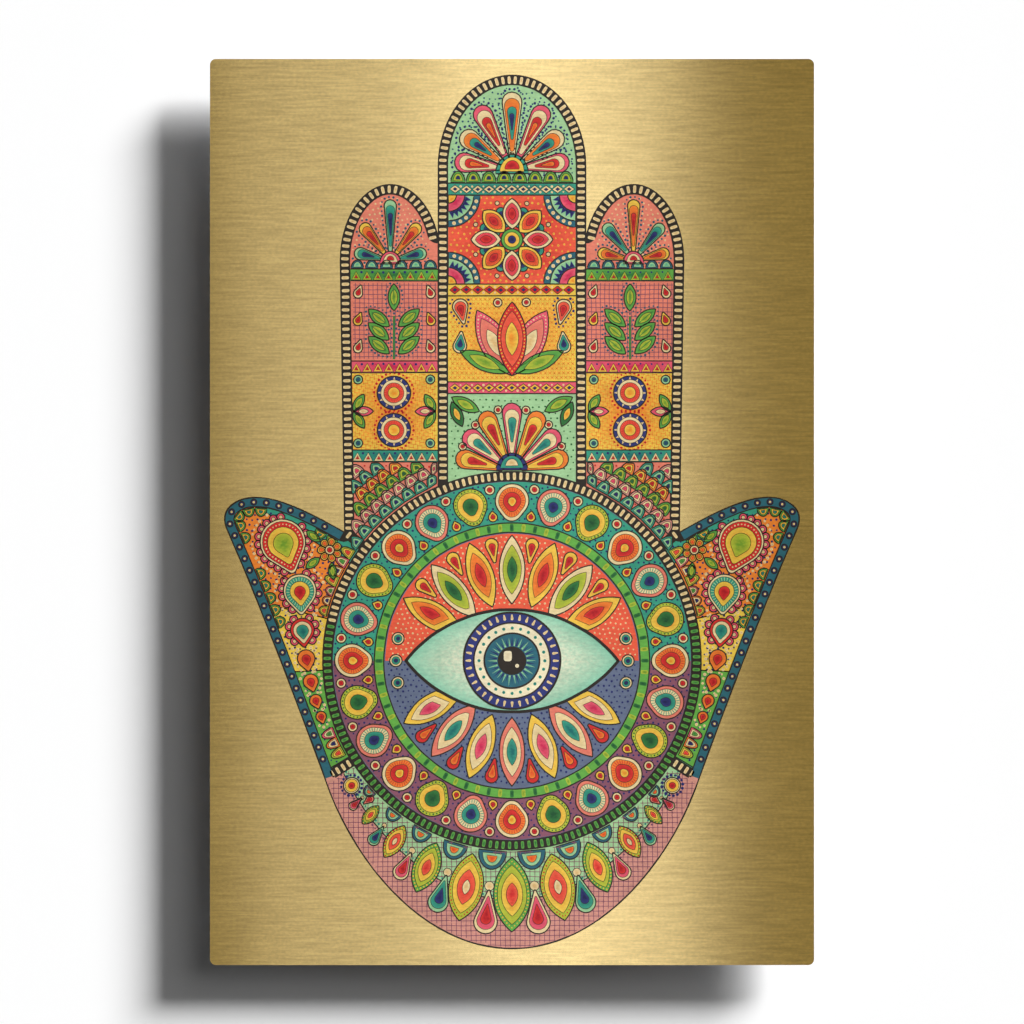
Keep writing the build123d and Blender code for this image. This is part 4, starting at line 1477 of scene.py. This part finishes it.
    def draw(self) -> None:
        """Draws both fingers from foot to tip."""
        for step in (self.scales, self.roundels, self.sprig):
            step()
        plan, count = self.plan, self.fan_look.foot_count
        feet_x = self.near + (np.arange(count) + 0.5) * (self.far - self.near) / count
        self.fan_room(self.fan_look, plan.side_x, plan.side_half - plan.band, feet_x, True)
        self.cross_bands()


@dataclass
class Thumbs(Region):
    """The two thumbs, mirror images: a string of drops in lobes and halos between rows of domes."""

    large_drops: tuple = ((0.262, -0.034, 0.026), (0.2425, -0.09, 0.019), (0.2395, -0.135, 0.0135))
    tail_drops: tuple = ((0.2352, -0.1675, 0.010), (0.2302, -0.1935, 0.0085), (0.2242, -0.2155, 0.007))
    last_drop: Row = (0.218, -0.234, 0.006)
    drop_recipes: Recipes = (
        "cream, red .9, yellow .68, lime .44",
        "cream, teal .86, yellow .6, red .34",
        "red, cream .76, teal .5",
    )
    zones: tuple = ((12.9, 31.0, Tone.ORANGE), (-2.9, 12.9, Tone.YELLOW))
    zone_foot: float = 1.7
    lobe: Pair = (1.2, 2.8)
    lobe_spacing: float = 5.3
    scallop_recipes: Recipes = (
        "lime, yellow .7, coral .4",
        "orange, cream .7, navy .36",
        "pink, cream .7, green .4",
    )
    scallop_count: int = 21
    scallop_width: float = 6.9
    scallop_heights: Pair = (3.6, 9.5)
    tooth: Pair = (5.6, 7.9)
    tooth_spacing: float = 8.8
    halo: float = 2.3
    rosette_shares: Pair = (0.2085, -0.0435)
    rosette_petals: int = 7
    rosette_leaf: Pair = (11.5, 5.6)
    rosette_leans: Row = (40, 98, 205, 262, 322)

    def drops(self) -> Array:
        """The right thumb's drops, each with its tip towards the next.

        Returns:
            One loop for each drop.
        """
        spots = np.array([*self.large_drops, *self.tail_drops, self.last_drop]) * self.plan.height
        ahead = np.diff(spots[:, :2], axis=0)
        turns = np.degrees(np.arctan2(*np.concatenate([ahead, ahead[-1:]]).T[::-1]))
        shapes = (drop(1.25 * r, r, 0.2 * r) for r in spots[:, 2])
        rows = (placed(s, x, z, turn) for s, (x, z, _), turn in zip(shapes, spots, turns))
        return np.concatenate(list(rows))

    def zone(self, start: float, end: float, tone: Tone) -> None:
        """Gives the part of each thumb between two directions from the disc its ground colour.

        Args:
            start: the lower direction in degrees.
            end: the upper direction.
            tone: the ground's ink.
        """
        press, plan, turns = self.press, self.plan, np.linspace(start, end, 60)
        outer = plan.centre + ray(turns) * (plan.reach(turns, plan.band) + self.seam)[:, None]
        inner = plan.centre + ray(turns) * (plan.radius - self.seam)
        press.band(outer[None], inner[None], tone, GROUND)
        press.band(inner[None] * MIRROR, outer[None] * MIRROR, tone, GROUND)
        for edge in (0, -1):
            cut = np.linspace(inner[edge], outer[edge], 12)[None]
            press.line(mirrored(cut), Tone.BLACK, GROUND + 2)

    def lobes(self, loops: Array) -> Array:
        """Sets lobes round the first three drops, where they keep clear of the other drops.

        Args:
            loops: the right thumb's drops.

        Returns:
            One loop for each lobe.
        """
        away, radius = self.lobe
        rows = [spaced(loops[n : n + 1], away, self.lobe_spacing) for n in range(3)]
        rows = [r[clear_of(r[:, None], np.delete(loops, n, axis=0), 3.3)] for n, r in enumerate(rows)]
        lobes = placed(circle(radius, 14), *np.concatenate(rows).T)
        return lobes[self.plan.in_thumb(lobes, -0.4).all(axis=1)]

    def scallops(self, solid: Array) -> Array:
        """Draws domes along the disc, as high as the drops leave room for.

        Args:
            solid: the points of the right thumb's drops and their lobes.

        Returns:
            The right thumb's domes.
        """
        plan, foot, (low, high) = self.plan, self.plan.radius + 0.5, self.scallop_heights
        angles = np.linspace(plan.foot_angle + 4.2, plan.crotch_angle - 4.2, self.scallop_count)
        radius, angle = plan.polar(solid)
        near = np.abs(angle[None] - angles[:, None]) < 1.9
        free = np.where(near, radius[None] - plan.radius - 1.8, 99).min(axis=1)
        angles, height = angles[free > low], np.clip(free[free > low], low, high)
        domes = radial(dome(1.0, self.scallop_width), plan.centre, foot, angles)
        away = plan.polar(domes)[0][..., None]
        rays = (domes - plan.centre) / away
        domes = domes + rays * np.maximum(away - foot, 0) * (height[:, None, None] - 1)
        for number, recipe in enumerate(self.scallop_recipes):
            self.pair(domes[number::3], recipe)
        return domes

    def rosette(self) -> None:
        """Draws the small flower in the fork between thumb and finger, with leaves beside it."""
        plan, count = self.plan, self.rosette_petals
        hub = np.array(self.rosette_shares) * plan.height
        petals = radial(drop(2.6, 1.0, 2.5), hub, 3.2, np.arange(count) * 360 / count)
        leaves = radial(leaf(*self.rosette_leaf), hub, 8.6, self.rosette_leans)
        leaves = leaves[plan.in_thumb(leaves, 0.4).all(axis=1)]
        self.pair(leaves, "green, lime .58", MOTIF + 3)
        self.pair(petals, "yellow, orange .6", MOTIF + 5)
        self.pair(placed(circle(3.1, 18), *hub), "cream, red .55", MOTIF + 8)

    def draw(self) -> None:
        """Draws the grounds, the drops in their lobes and halos, and the domes at the edges."""
        press, plan, loops = self.press, self.plan, self.drops()
        lowest = (plan.foot_angle + self.zone_foot, self.zones[-1][0], Tone.GREEN)
        for zone in (*self.zones, lowest):
            self.zone(*zone)
        press.stipple(plan.grid(3.6), partial(plan.in_thumb, margin=1.4), 0.72, Tone.NAVY)
        lobes = self.lobes(loops)
        self.pair(lobes, "pink, cream .45")
        for number, recipe in enumerate(self.drop_recipes):
            self.pair(loops[number : number + 1], recipe, MOTIF + 4)
        self.pair(loops[3:], "orange, red .5", MOTIF + 4)
        press.beads(both_sides(loops[:1]), 0.79, Tone.CREAM, MOTIF + 6)
        press.ribs(both_sides(loops[1:2]), (0.63, 0.83), Tone.MINT, MOTIF + 6)
        solid = np.concatenate([loops.reshape(-1, 2), lobes.reshape(-1, 2)])
        rim = self.scallops(solid)
        marks = plan.thumb_edge.marks(self.tooth_spacing, plan.band + 0.5)
        teeth = placed(dome(*self.tooth), *marks)
        free = clear_of(teeth, solid, 0.7) & clear_of(teeth, rim, 0.9)
        teeth = teeth[plan.in_thumb(teeth.mean(axis=1), 0.6) & free]
        self.pair(teeth, "green, yellow .66, teal .34")
        halos = [spaced(loops[:3], self.halo + 3.4, 3.3), spaced(loops[3:], self.halo, 3.1)]
        halos = np.concatenate(halos)
        others = np.concatenate([rim.reshape(-1, 2), teeth.reshape(-1, 2), solid])
        clear = plan.in_thumb(halos, 1.2) & clear_of(halos[:, None], others, 1.3)
        clear &= plan.polar(halos)[1] < self.zones[0][1]
        press.dots(mirrored(halos[clear]), 0.95, Tone.CREAM)
        self.rosette()


@dataclass
class PalmDisc(Region):
    """The round mandala in the palm, with the eye at its middle."""

    petal_count: int = 24
    petal_shares: Row = (0.055, 0.055, 0.088)
    petal_recipes: Recipes = (
        "cream, orange .8, red .52, yellow .24",
        "lime, yellow .78, forest .46",
        "salmon, cream .8, teal .54, navy .28",
    )
    petal_ring: Pair = (0.942, 0.725)
    petal_foot: float = 0.79
    ray_angles: Row = (30, 50, 70, 90, 110, 130, 150)
    ray_leaf: Pair = (0.36, 0.135)
    ray_foot: float = 0.30
    ray_ground: float = 0.668
    upper_rays: Recipes = ("yellow, orange .7, red .38", "cream, lime .72, forest .38")
    lower_rays: Recipes = ("yellow, cream .72, pink .4", "salmon, cream .72, teal .4")
    gap_drop: Row = (11.5, 1.0, 4.4)
    stripe_count: int = 72
    stripe: Pair = (5.0, 2.6)
    stripe_ring: Pair = (0.722, 0.679)
    stripe_line: float = 0.007
    eye_shares: Pair = (0.56, 0.27)
    eye_circles: tuple = ((0.255, -4, 1.3), (0.20, -2, 1.0), (0.145, 2, 1.2))
    lash_ring: Pair = (0.221, 36)
    dot_ring: Pair = (0.1725, 24)
    iris_foot: float = 0.079
    iris_rays: int = 44
    glints: tuple = ((-2.8, 3.2), (3.6, -3.4))

    def __post_init__(self) -> None:
        """Works out the eye's half length and height, and the bow of its lids."""
        self.eye_size = tuple(share * self.plan.radius for share in self.eye_shares)
        length, height = self.eye_size
        self.bow = (length**2 + height**2) / (2 * height)

    def round(self, shape: Array, share: float, angles: Numbers) -> Array:
        """Copies a shape round the disc's centre, at a share of the disc's radius."""
        return radial(shape, self.plan.centre, share * self.plan.radius, angles)

    def ring(self, tone: Tone, shares: Pair, angles: Pair, level: int) -> None:
        """Lays a strip of a ring, its outer and inner radius given as shares of the disc's."""
        turns, hub, radius = ray(np.linspace(*angles, 150)), self.plan.centre, self.plan.radius
        self.press.band(*((hub + turns * share * radius)[None] for share in shares), tone, level)

    def beyond_lids(self, margin: float) -> Mask:
        """A test for points outside the eye by a margin, beyond one of its two arcs."""
        z0, offset, far = self.plan.centre[1], self.bow - self.eye_size[1], self.bow + margin
        return lambda points: np.hypot(points[..., 0], np.abs(points[..., 1] - z0) + offset) > far

    def between(self, low: float, high: float) -> Mask:
        """A test for points between two shares of the disc's radius."""
        low, high = low * self.plan.radius, high * self.plan.radius
        return lambda points: np.abs(self.plan.polar(points)[0] - (low + high) / 2) < (high - low) / 2

    def petals(self) -> None:
        """Draws the outer ring of petals in three sets of colours, with beads between."""
        press = self.press
        turns = np.arange(self.petal_count) * 360 / self.petal_count
        middles = turns + 180 / self.petal_count
        for start, tone in ((0, Tone.TEAL), (180, Tone.PLUM)):
            self.ring(tone, self.petal_ring, (start, start + 180), GROUND)
        press.stipple(self.plan.grid(3.6), self.between(0.735, 0.935), 0.7, Tone.NAVY)
        shape = drop(*(share * self.plan.radius for share in self.petal_shares), 120)
        loops = self.round(evened(shape[None], 44)[0], self.petal_foot, turns)
        press.in_turn(loops, self.petal_recipes)
        press.ribs(loops[::3], (0.56, 0.76), Tone.RED, MOTIF + 2)
        press.beads(loops[1::3], 0.89, Tone.FOREST, MOTIF + 1)
        press.ribs(loops[2::3], (0.58, 0.77), Tone.TEAL, MOTIF + 2)
        press.motif(self.round(circle(3.3, 16), 0.908, middles), "cream, red .52")
        press.motif(self.round(drop(3.6, 3.0, 0.6), 0.762, middles), "yellow, red .5")

    def rays(self) -> None:
        """Draws the rays over and under the eye, small drops between and the ground behind."""
        press, plan = self.press, self.plan
        arc = plan.centre + self.ray_ground * plan.radius * ray(np.linspace(0, 180, 60))
        x = np.linspace(-self.eye_size[0], self.eye_size[0], 40)
        lid = plan.centre[1] + np.sqrt(self.bow**2 - x**2) - (self.bow - self.eye_size[1])
        ground = np.concatenate([arc, np.stack([x, lid], -1)])[None]
        press.fill(ground, Tone.CORAL, GROUND, False)
        clear, inside = self.beyond_lids(1.5), self.between(0, 0.655)
        for side, spacing, size, tone in ((-1, 3.6, 0.72, Tone.NAVY), (1, 3.4, 0.62, Tone.CREAM)):
            points = plan.grid(spacing)
            points = points[(points[:, 1] - plan.centre[1]) * side > 0]
            press.stipple(points, lambda p: inside(p) & clear(p), size, tone)
        self.leaves()
        gaps = np.convolve(self.ray_angles, (0.5, 0.5), "valid")
        press.motif(self.round(drop(*self.gap_drop), 0.53, gaps), "yellow, red .52")
        press.motif(self.round(drop(*self.gap_drop), 0.53, -gaps), "red, orange .55")
        for side in (0, 180):
            beads = self.round(circle(4.1, 18), 0.612, side + np.array([11.0, 0.0, -11.0]))
            press.motif(beads, "cream, teal .66, navy .3")

    def leaves(self) -> None:
        """Draws the rays' nested leaves, trimmed where they would cross the eye."""
        clear = self.beyond_lids(-0.35)
        shape = leaf(*(share * self.plan.radius for share in self.ray_leaf), 40)
        for sign, recipes in ((1, self.upper_rays), (-1, self.lower_rays)):
            loops = self.round(shape, self.ray_foot, np.array(self.ray_angles) * sign)
            for number, loop in enumerate(loops):
                self.press.motif(loop[clear(loop)][None], recipes[number % 2])

    def stripes(self) -> None:
        """Draws the green ring with its darker and lighter stripes."""
        outer, inner = self.stripe_ring
        self.ring(Tone.BLACK, (outer + self.stripe_line, inner - self.stripe_line), (0, 360), MOTIF)
        self.ring(Tone.GREEN, self.stripe_ring, (0, 360), MOTIF + 1)
        turns = np.arange(self.stripe_count) * 360 / self.stripe_count
        loops = self.round(bead(*self.stripe), (outer + inner) / 2, turns)
        self.press.fill(loops[::2], Tone.FOREST, MOTIF + 2)
        self.press.fill(loops[1::2], Tone.LIME, MOTIF + 2)

    def eye(self) -> None:
        """Draws the eye's outline, rings, iris and glints."""
        press, (x, z), (length, height) = self.press, self.plan.centre, self.eye_size
        lid = placed(leaf(2 * length, 2 * height, 96), -length, z)
        press.stroke(lid, Tone.BLACK, IRIS - 5, 2.0)
        press.fill((x, z) + (lid - (x, z)) * 0.985, Tone.EYE, MOTIF)
        for share, level, width in self.eye_circles:
            loop = placed(circle(share * self.plan.radius, 72), x, z)
            press.stroke(loop, Tone.BLACK, IRIS + level, width)
        for (share, count), shape, tone, level in (
            (self.lash_ring, drop(2.6, 0.9, 0.5), Tone.CREAM, IRIS - 5),
            (self.dot_ring, circle(1.1, 10), Tone.TEAL, IRIS - 3),
        ):
            press.fill(self.round(shape, share, np.arange(count) * 360 / count), tone, level)
        order = np.arange(self.iris_rays)
        foot, turns = self.iris_foot * self.plan.radius, order * 360 / self.iris_rays
        rays = radial(wedge(6.2, 1.15), (x, z), foot, turns, 0, 1 + 0.16 * np.sin(order * 2.4))
        press.fill(rays[::2], Tone.MINT, IRIS)
        press.fill(rays[1::2], Tone.NAVY, IRIS)
        for (right, up), shape in zip(self.glints, (bead(5.4, 7.0, 24), circle(1.3, 14))):
            press.fill(placed(shape, right, z + up), Tone.WHITE, GLINT)

    def draw(self) -> None:
        """Draws the disc from its rim to the eye."""
        for step in (self.petals, self.rays, self.stripes, self.eye):
            step()


@dataclass
class PalmBase(Region):
    """The crescent at the palm's foot: a collar, lotus petals, drops between them and a net."""

    petals: tuple = ((0, 0.085), (11.5, 0.078), (22.5, 0.061), (33, 0.043), (42.5, 0.028))
    petal_start: float = 0.008
    petal_recipes: Recipes = (
        "green, lime .8, yellow .58, coral .32",
        "lime, yellow .78, coral .52, cream .22",
    )
    drop_angles: Row = (5.75, 17.0, 27.75, 37.75, 47.5)
    cool_drops: Row = (17.0, 37.75)
    drop_length: float = 0.36
    drop_hub: float = 0.135
    collar_share: float = 0.56
    collar_dots: float = 1.9
    roundel: float = 5.4
    roundel_angle: float = -37.9
    end_drop: Row = (5.0, 2.5, 0.5)
    net_margin: float = 0.6

    def collar(self) -> None:
        """Lays a mint collar along the disc, with a row of dots to either side of its edge."""
        press, plan = self.press, self.plan
        turns = np.linspace(plan.foot_angle - 1.6, -90, 90)
        depth = self.collar_share * (plan.reach(turns, plan.band) - plan.radius)
        inner = plan.centre + ray(turns) * (plan.radius - self.seam)
        outer = plan.centre + ray(turns) * (plan.radius + depth)[:, None]
        press.band(inner[None], outer[None], Tone.MINT, GROUND)
        press.band(outer[None] * MIRROR, inner[None] * MIRROR, Tone.MINT, GROUND)
        press.line(np.stack([outer, outer * MIRROR]), Tone.BLACK, GROUND + 2)
        dots = Path2D.through([outer]).points[::3]
        away = (dots - plan.centre) / plan.polar(dots)[0][:, None]
        for shift, tone in ((-self.collar_dots, Tone.TEAL), (self.collar_dots, Tone.PLUM)):
            press.dots(mirrored(dots + away * shift), 0.7, tone, GROUND + 3)

    def drops(self) -> None:
        """Draws a drop between each two petals, and a dome at its foot."""
        press, plan = self.press, self.plan
        angles = np.concatenate([-np.array(self.drop_angles), self.drop_angles])
        cool = np.isin(np.abs(angles), self.cool_drops)
        angles = angles - 90
        reach = plan.reach(angles, plan.band)
        room = reach - plan.radius
        for angle, far, space, chilled in zip(angles, reach, room, cool):
            hub = self.drop_hub * space
            shape = drop(self.drop_length * space, hub, 0.1 * hub)
            loop = radial(shape, plan.centre, far - hub - 1.4, [angle], 180)
            press.motif(loop, "mint, teal .76, navy .42" if chilled else "cream, pink .76, red .46")
        feet = radial(dome(1.0, 1.5), plan.centre, plan.radius + 0.6, angles, 0, 0.19 * room + 1.6)
        press.motif(feet, "lagoon, mint .68, orange .36")
        middles = plan.radius + 0.42 * room
        spots = radial(circle(1.0, 12), plan.centre, middles, angles, 0, 0.055 * room)
        press.motif(spots, "cream", MOTIF, 0.5)

    def lotus(self) -> None:
        """Draws the petals that stand out from the disc, the middle one largest."""
        press, plan = self.press, self.plan
        for number, (angle, share) in enumerate(self.petals):
            shape = leaf(share * plan.height, 0.5 * share * plan.height, 36)
            start = plan.radius + self.petal_start * plan.height
            petals = radial(shape, plan.centre, start, np.array(sorted({-angle, angle})) - 90)
            press.motif(petals, self.petal_recipes[number % 2])
            press.beads(petals, 0.89, (Tone.YELLOW, Tone.RED)[number % 2], MOTIF + 1)

    def ends(self) -> None:
        """Draws a beaded roundel and a small drop at each end of the crescent."""
        press, plan = self.press, self.plan
        angles = np.array([self.roundel_angle])
        middle = (plan.radius + plan.reach(angles, plan.band)) / 2
        hub = both_sides(radial(circle(self.roundel, 26), plan.centre, middle, angles))
        press.dots(spaced(hub, 1.6, 2.6), 1.0, Tone.NAVY, MOTIF, 9)
        press.motif(hub, "cream, yellow .8, red .4")
        small = radial(drop(*self.end_drop), plan.centre, plan.radius + 5.5, angles - 6.4, 8)
        self.pair(small, "salmon, red .55")

    def draw(self) -> None:
        """Draws the net, the collar, the drops and the petals."""
        field_test = partial(self.plan.in_base, margin=self.net_margin)
        self.press.net(self.plan.grid(WEAVE, 0, 0), field_test, WEAVE, (0, 90), Tone.PLUM)
        for step in (self.collar, self.drops, self.lotus, self.ends):
            step()


# The sheet, the hardware behind it and the room


@dataclass
class Panel:
    """The CAD's own solids: the sandwich sheet, its printed fields and what carries the sheet."""

    nodes: dict[str, bpy.types.Object]
    inks: dict[Tone, bpy.types.Material]
    gold: BrushedSheet = BrushedSheet((241, 216, 148), 0.24, 0.98, 0.145, 0.0000022)
    mill: BrushedSheet = BrushedSheet((196, 198, 202), 0.42, 0.7, 0.05)
    core: SoftMoulding = SoftMoulding((40, 40, 42), 0.6, 900, 0.00003)
    zinc: PlatedSteel = PlatedSteel((190, 194, 200), 0.36)
    nickel: PlatedSteel = PlatedSteel((206, 204, 196), 0.2, 0.08)
    yellow_zinc: PlatedSteel = PlatedSteel((214, 184, 116), 0.28, 0.1)
    tape: SoftMoulding = SoftMoulding((70, 70, 72), 0.9, 1500, 0.00006)
    rubber: SoftMoulding = SoftMoulding((38, 38, 40), 0.62, 2200, 0.00003)

    def finishes(self) -> dict[str, bpy.types.Material]:
        """The material of each kind of piece, by the start of its name.

        Returns:
            The materials, with a rail's own name before the common start of all rails.
        """
        zinc, screws = self.zinc.build("zinc_plate"), self.yellow_zinc.build("yellow_zinc_plate")
        level, upright = Pine(False).build("pine_level"), Pine(True).build("pine_upright")
        return {
            "face_skin": self.gold.build("brushed_gold"),
            "back_skin": self.mill.build("mill_aluminium"),
            "core_sheet": self.core.build("black_core"),
            "frame_rail_top": level,
            "frame_rail_bottom": level,
            "frame_rail": upright,
            "foam_tape": self.tape.build("foam_tape"),
            "corner_brace": zinc,
            "brace_screws": screws,
            "hanger_strap": zinc,
            "hanger_screws": screws,
            "hanger_ring": self.nickel.build("nickel_plate"),
            "bumper": self.rubber.build("bumper_rubber"),
        }

    def dress(self) -> None:
        """Gives every node its material: a film its ink, any other piece its finish."""
        finishes = self.finishes()
        for name, node in self.nodes.items():
            key = name.removeprefix("ink_").removeprefix("left_").removeprefix("right_")
            if name.startswith("ink_"):
                material = self.inks[FILM_TONES[key]]
            else:
                material = next(m for start, m in finishes.items() if name.startswith(start))
            node.data.materials.clear()
            node.data.materials.append(material)
            LOG.info("%s: %s", name, material.name)


FILM_TONES = {
    "white_base": Tone.WHITE,
    "border": Tone.BLACK,
    "middle_finger_field": Tone.MINT,
    "finger_field": Tone.SALMON,
    "thumb_field": Tone.TEAL,
    "palm_base_field": Tone.MAUVE,
    "palm_disc": Tone.SLATE,
    "palm_petals": Tone.ORANGE,
    "palm_stripe_ring": Tone.GREEN,
    "palm_rays": Tone.YELLOW,
    "eye_white": Tone.CREAM,
    "eye_blue_ring": Tone.NAVY,
    "eye_pale_ring": Tone.WHITE,
    "eye_iris": Tone.LAGOON,
    "eye_pupil": Tone.BLACK,
    "middle_finger_bands": Tone.PINK,
    "middle_finger_fan": Tone.RED,
    "middle_finger_crown": Tone.ORANGE,
    "middle_finger_flower": Tone.PINK,
    "middle_finger_tulip": Tone.RED,
    "palm_base_petals": Tone.GREEN,
    "finger_bands": Tone.GREEN,
    "finger_fan": Tone.YELLOW,
    "finger_sprig": Tone.GREEN,
    "finger_roundels": Tone.NAVY,
    "thumb_drops": Tone.ORANGE,
}


@dataclass
class Studio:
    """The white wall and pale floor, the lamps and the camera."""

    distance: float = 3.2
    frame_width: float = 0.6889
    face: float = 0.0285
    suns: tuple = (("key", (1.67, -1.0, 1.34), 18.5, 6.5), ("soft", (0.75, -1.0, 0.57), 45.0, 0.4))
    streak_tilt: float = 2.0
    streak_depth: float = 1.3
    streak_edges: Row = (-0.187, -0.08, -0.035, 0.052, 0.105, 0.134)
    streak_levels: Row = (0.4, 0.57, 1.08, 0.82, 0.36)
    screen_reach: float = 2.4
    screens: tuple = ((27, 0.45, 0.3), (39, 0.5, 0.5), (52, 0.55, 0.8), (67, 0.6, 0.4))
    floor_height: float = -1.25

    def camera(self) -> None:
        """Sets the camera square before the sheet, at the photograph's scale."""
        data = bpy.data.cameras.new("camera")
        data.lens = data.sensor_width * (self.distance - self.face) / self.frame_width
        camera = bpy.data.objects.new("camera", data)
        camera.location = (0, -self.distance, 0)
        camera.rotation_euler = (math.pi / 2, 0, 0)
        bpy.context.scene.collection.objects.link(camera)
        bpy.context.scene.camera = camera
        bpy.context.scene.view_settings.view_transform = "Standard"

    def lamp(self, name: str, kind: str, place: Numbers, energy: float, **settings: object) -> object:
        """Adds a lamp that faces the sheet's middle.

        Args:
            name: the lamp's name.
            kind: SUN or AREA.
            place: where it stands.
            energy: its strength.
            settings: the lamp's other settings.

        Returns:
            The lamp's object.
        """
        data = bpy.data.lights.new(name, kind)
        for key, value in {"energy": energy, **settings}.items():
            setattr(data, key, value)
        lamp = bpy.data.objects.new(name, data)
        lamp.location = place
        lamp.rotation_euler = (-Vector(place)).to_track_quat("-Z", "Z").to_euler()
        bpy.context.scene.collection.objects.link(lamp)
        return lamp

    def screen(self, name: str, place: Numbers, size: Pair, level: float) -> object:
        """Adds a pale screen, as a lamp that only the metal reflects.

        Args:
            name: the screen's name.
            place: where it stands.
            size: its width and height.
            level: how bright its surface is.

        Returns:
            The screen's object.
        """
        width, height = size
        shape = {"shape": "RECTANGLE", "size": width, "size_y": height}
        screen = self.lamp(name, "AREA", place, level * math.pi * width * height, **shape)
        screen.visible_diffuse = False
        screen.visible_camera = False
        return screen

    def lamps(self) -> None:
        """Sets two suns, the tall softboxes that streak the metal, side screens and rear lamps."""
        for name, slope, spread, strength in self.suns:
            self.lamp(name, "SUN", slope, strength, angle=math.radians(spread))
        spread = 1 + self.streak_depth / self.distance
        edges = zip(self.streak_edges, self.streak_edges[1:], self.streak_levels)
        for number, (left, right, level) in enumerate(edges):
            place = ((left + right) / 2 * spread, -self.streak_depth - self.face, 0)
            streak = self.screen(f"streak_{number}", place, ((right - left) * spread, 2.2), level)
            streak.rotation_euler = (math.pi / 2, math.radians(-self.streak_tilt), 0)
            streak.data.color = (1.0, 1.02, 1.2)
        for number, (turn, width, level) in enumerate(self.screens):
            for side in (-1, 1):
                x, y = self.screen_reach * ray(turn * side - 90)
                self.screen(f"screen_{number}_{side}", (x, y, 0), (width, 2.6), level)
        for name, x in (("rear_left", -1.3), ("rear_right", 1.3)):
            shape = {"shape": "RECTANGLE", "size": 1.6, "size_y": 1.2}
            self.lamp(name, "AREA", (x, 1.7, 0.9), 30.0, **shape)

    def room(self) -> None:
        """Makes the room: white to the camera, warm before the sheet and neutral behind it."""
        room = Shader("room", True)
        path = room.add("LightPath", {})
        coords = room.add("TexCoord", {}).outputs["Generated"]
        depth = room.add("SeparateXYZ", {0: coords}).outputs["Y"]
        behind = room.add("MapRange", {"Value": depth, "From Min": -0.3, "From Max": 0.1})
        tint = room.blend(behind.outputs["Result"], (1.0, 0.83, 0.42), (2.0, 2.0, 2.0))
        surface = room.add("Background", {"Strength": 0.06}).outputs[0]
        glossy = room.add("Background", {"Color": tint, "Strength": 0.25})
        shown = room.add("Background", {"Color": (1.0, 1.0, 1.0, 1)})
        for kind, above in (("Is Glossy Ray", glossy), ("Is Camera Ray", shown)):
            sockets = {0: path.outputs[kind], 1: surface, 2: above.outputs[0]}
            surface = room.add("MixShader", sockets).outputs[0]
        bpy.context.scene.world = room.close(surface)

    def plane(self, name: str, corners: Sequence[Numbers]) -> bpy.types.Object:
        """Adds a flat stage object.

        Args:
            name: its name.
            corners: its four corners in metres.

        Returns:
            The object.
        """
        stage = mesh_object(name, np.array(corners, float), np.arange(4), np.array([4]))
        return stage

    def wall(self) -> None:
        """Hangs the white wall just behind the bumpers, open from behind."""
        y, reach, foot = 0.0008, 3.0, self.floor_height
        corners = [(-reach, y, foot), (reach, y, foot), (reach, y, reach), (-reach, y, reach)]
        shader = Shader("wall_paint")
        paint = shader.add("BsdfDiffuse", {"Color": (0.98, 0.98, 0.98, 1)}).outputs[0]
        side, path = shader.add("NewGeometry", {}), shader.add("LightPath", {})
        depth = {0: path.outputs["Diffuse Depth"], 1: 0.5}
        first = shader.add("Math", depth, operation="LESS_THAN").outputs[0]
        lit = shader.times(path.outputs["Is Shadow Ray"], first)
        sockets = {0: side.outputs["Backfacing"], 1: lit}
        see_through = shader.add("Math", sockets, operation="MAXIMUM").outputs[0]
        clear = shader.add("BsdfTransparent", {}).outputs[0]
        mix = shader.add("MixShader", {0: see_through, 1: paint, 2: clear})
        self.plane("wall", corners).data.materials.append(shader.close(mix.outputs[0]))

    def floor(self) -> None:
        """Lays the pale floor below the frame."""
        z, reach = self.floor_height, 4.0
        corners = [(-reach, -reach, z), (reach, -reach, z), (reach, reach, z), (-reach, reach, z)]
        floor = self.plane("floor", corners)
        floor.visible_diffuse = False
        floor.visible_glossy = False
        shader = Shader("floor_paint")
        cloud = shader.noise((3, 3, 3), 2, 0.97, 1.0)
        colour = shader.shade((0.8, 0.8, 0.79), cloud)
        floor.data.materials.append(shader.finish(colour, 0.8, shader.bump(cloud, 0.0)))

    def build(self) -> None:
        """Builds the whole studio."""
        for step in (self.camera, self.lamps, self.room, self.wall, self.floor):
            step()


REGIONS = {
    "print_border": Border,
    "print_middle_finger": MiddleFinger,
    "print_side_fingers": SideFingers,
    "print_thumbs": Thumbs,
    "print_palm_disc": PalmDisc,
    "print_palm_base": PalmBase,
}


def main() -> None:
    """Builds the dressed ornament and its studio, and reports each piece."""
    logging.basicConfig(level=logging.INFO, format="%(message)s")
    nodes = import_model()["nodes"]
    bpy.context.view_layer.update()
    inks = {tone: PrintedInk(tone).build() for tone in Tone}
    Panel(nodes, inks).dress()
    low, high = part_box("ink_white_base")
    plan = HandPlan(height=(high.z - low.z) / METRE)
    face = -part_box("face_skin")[0].y / METRE
    for name, kind in REGIONS.items():
        press = Press(name, face, inks)
        kind(plan, press).draw()
        press.deliver("panel")
    Studio().build()


if __name__ == "__main__":
    main()
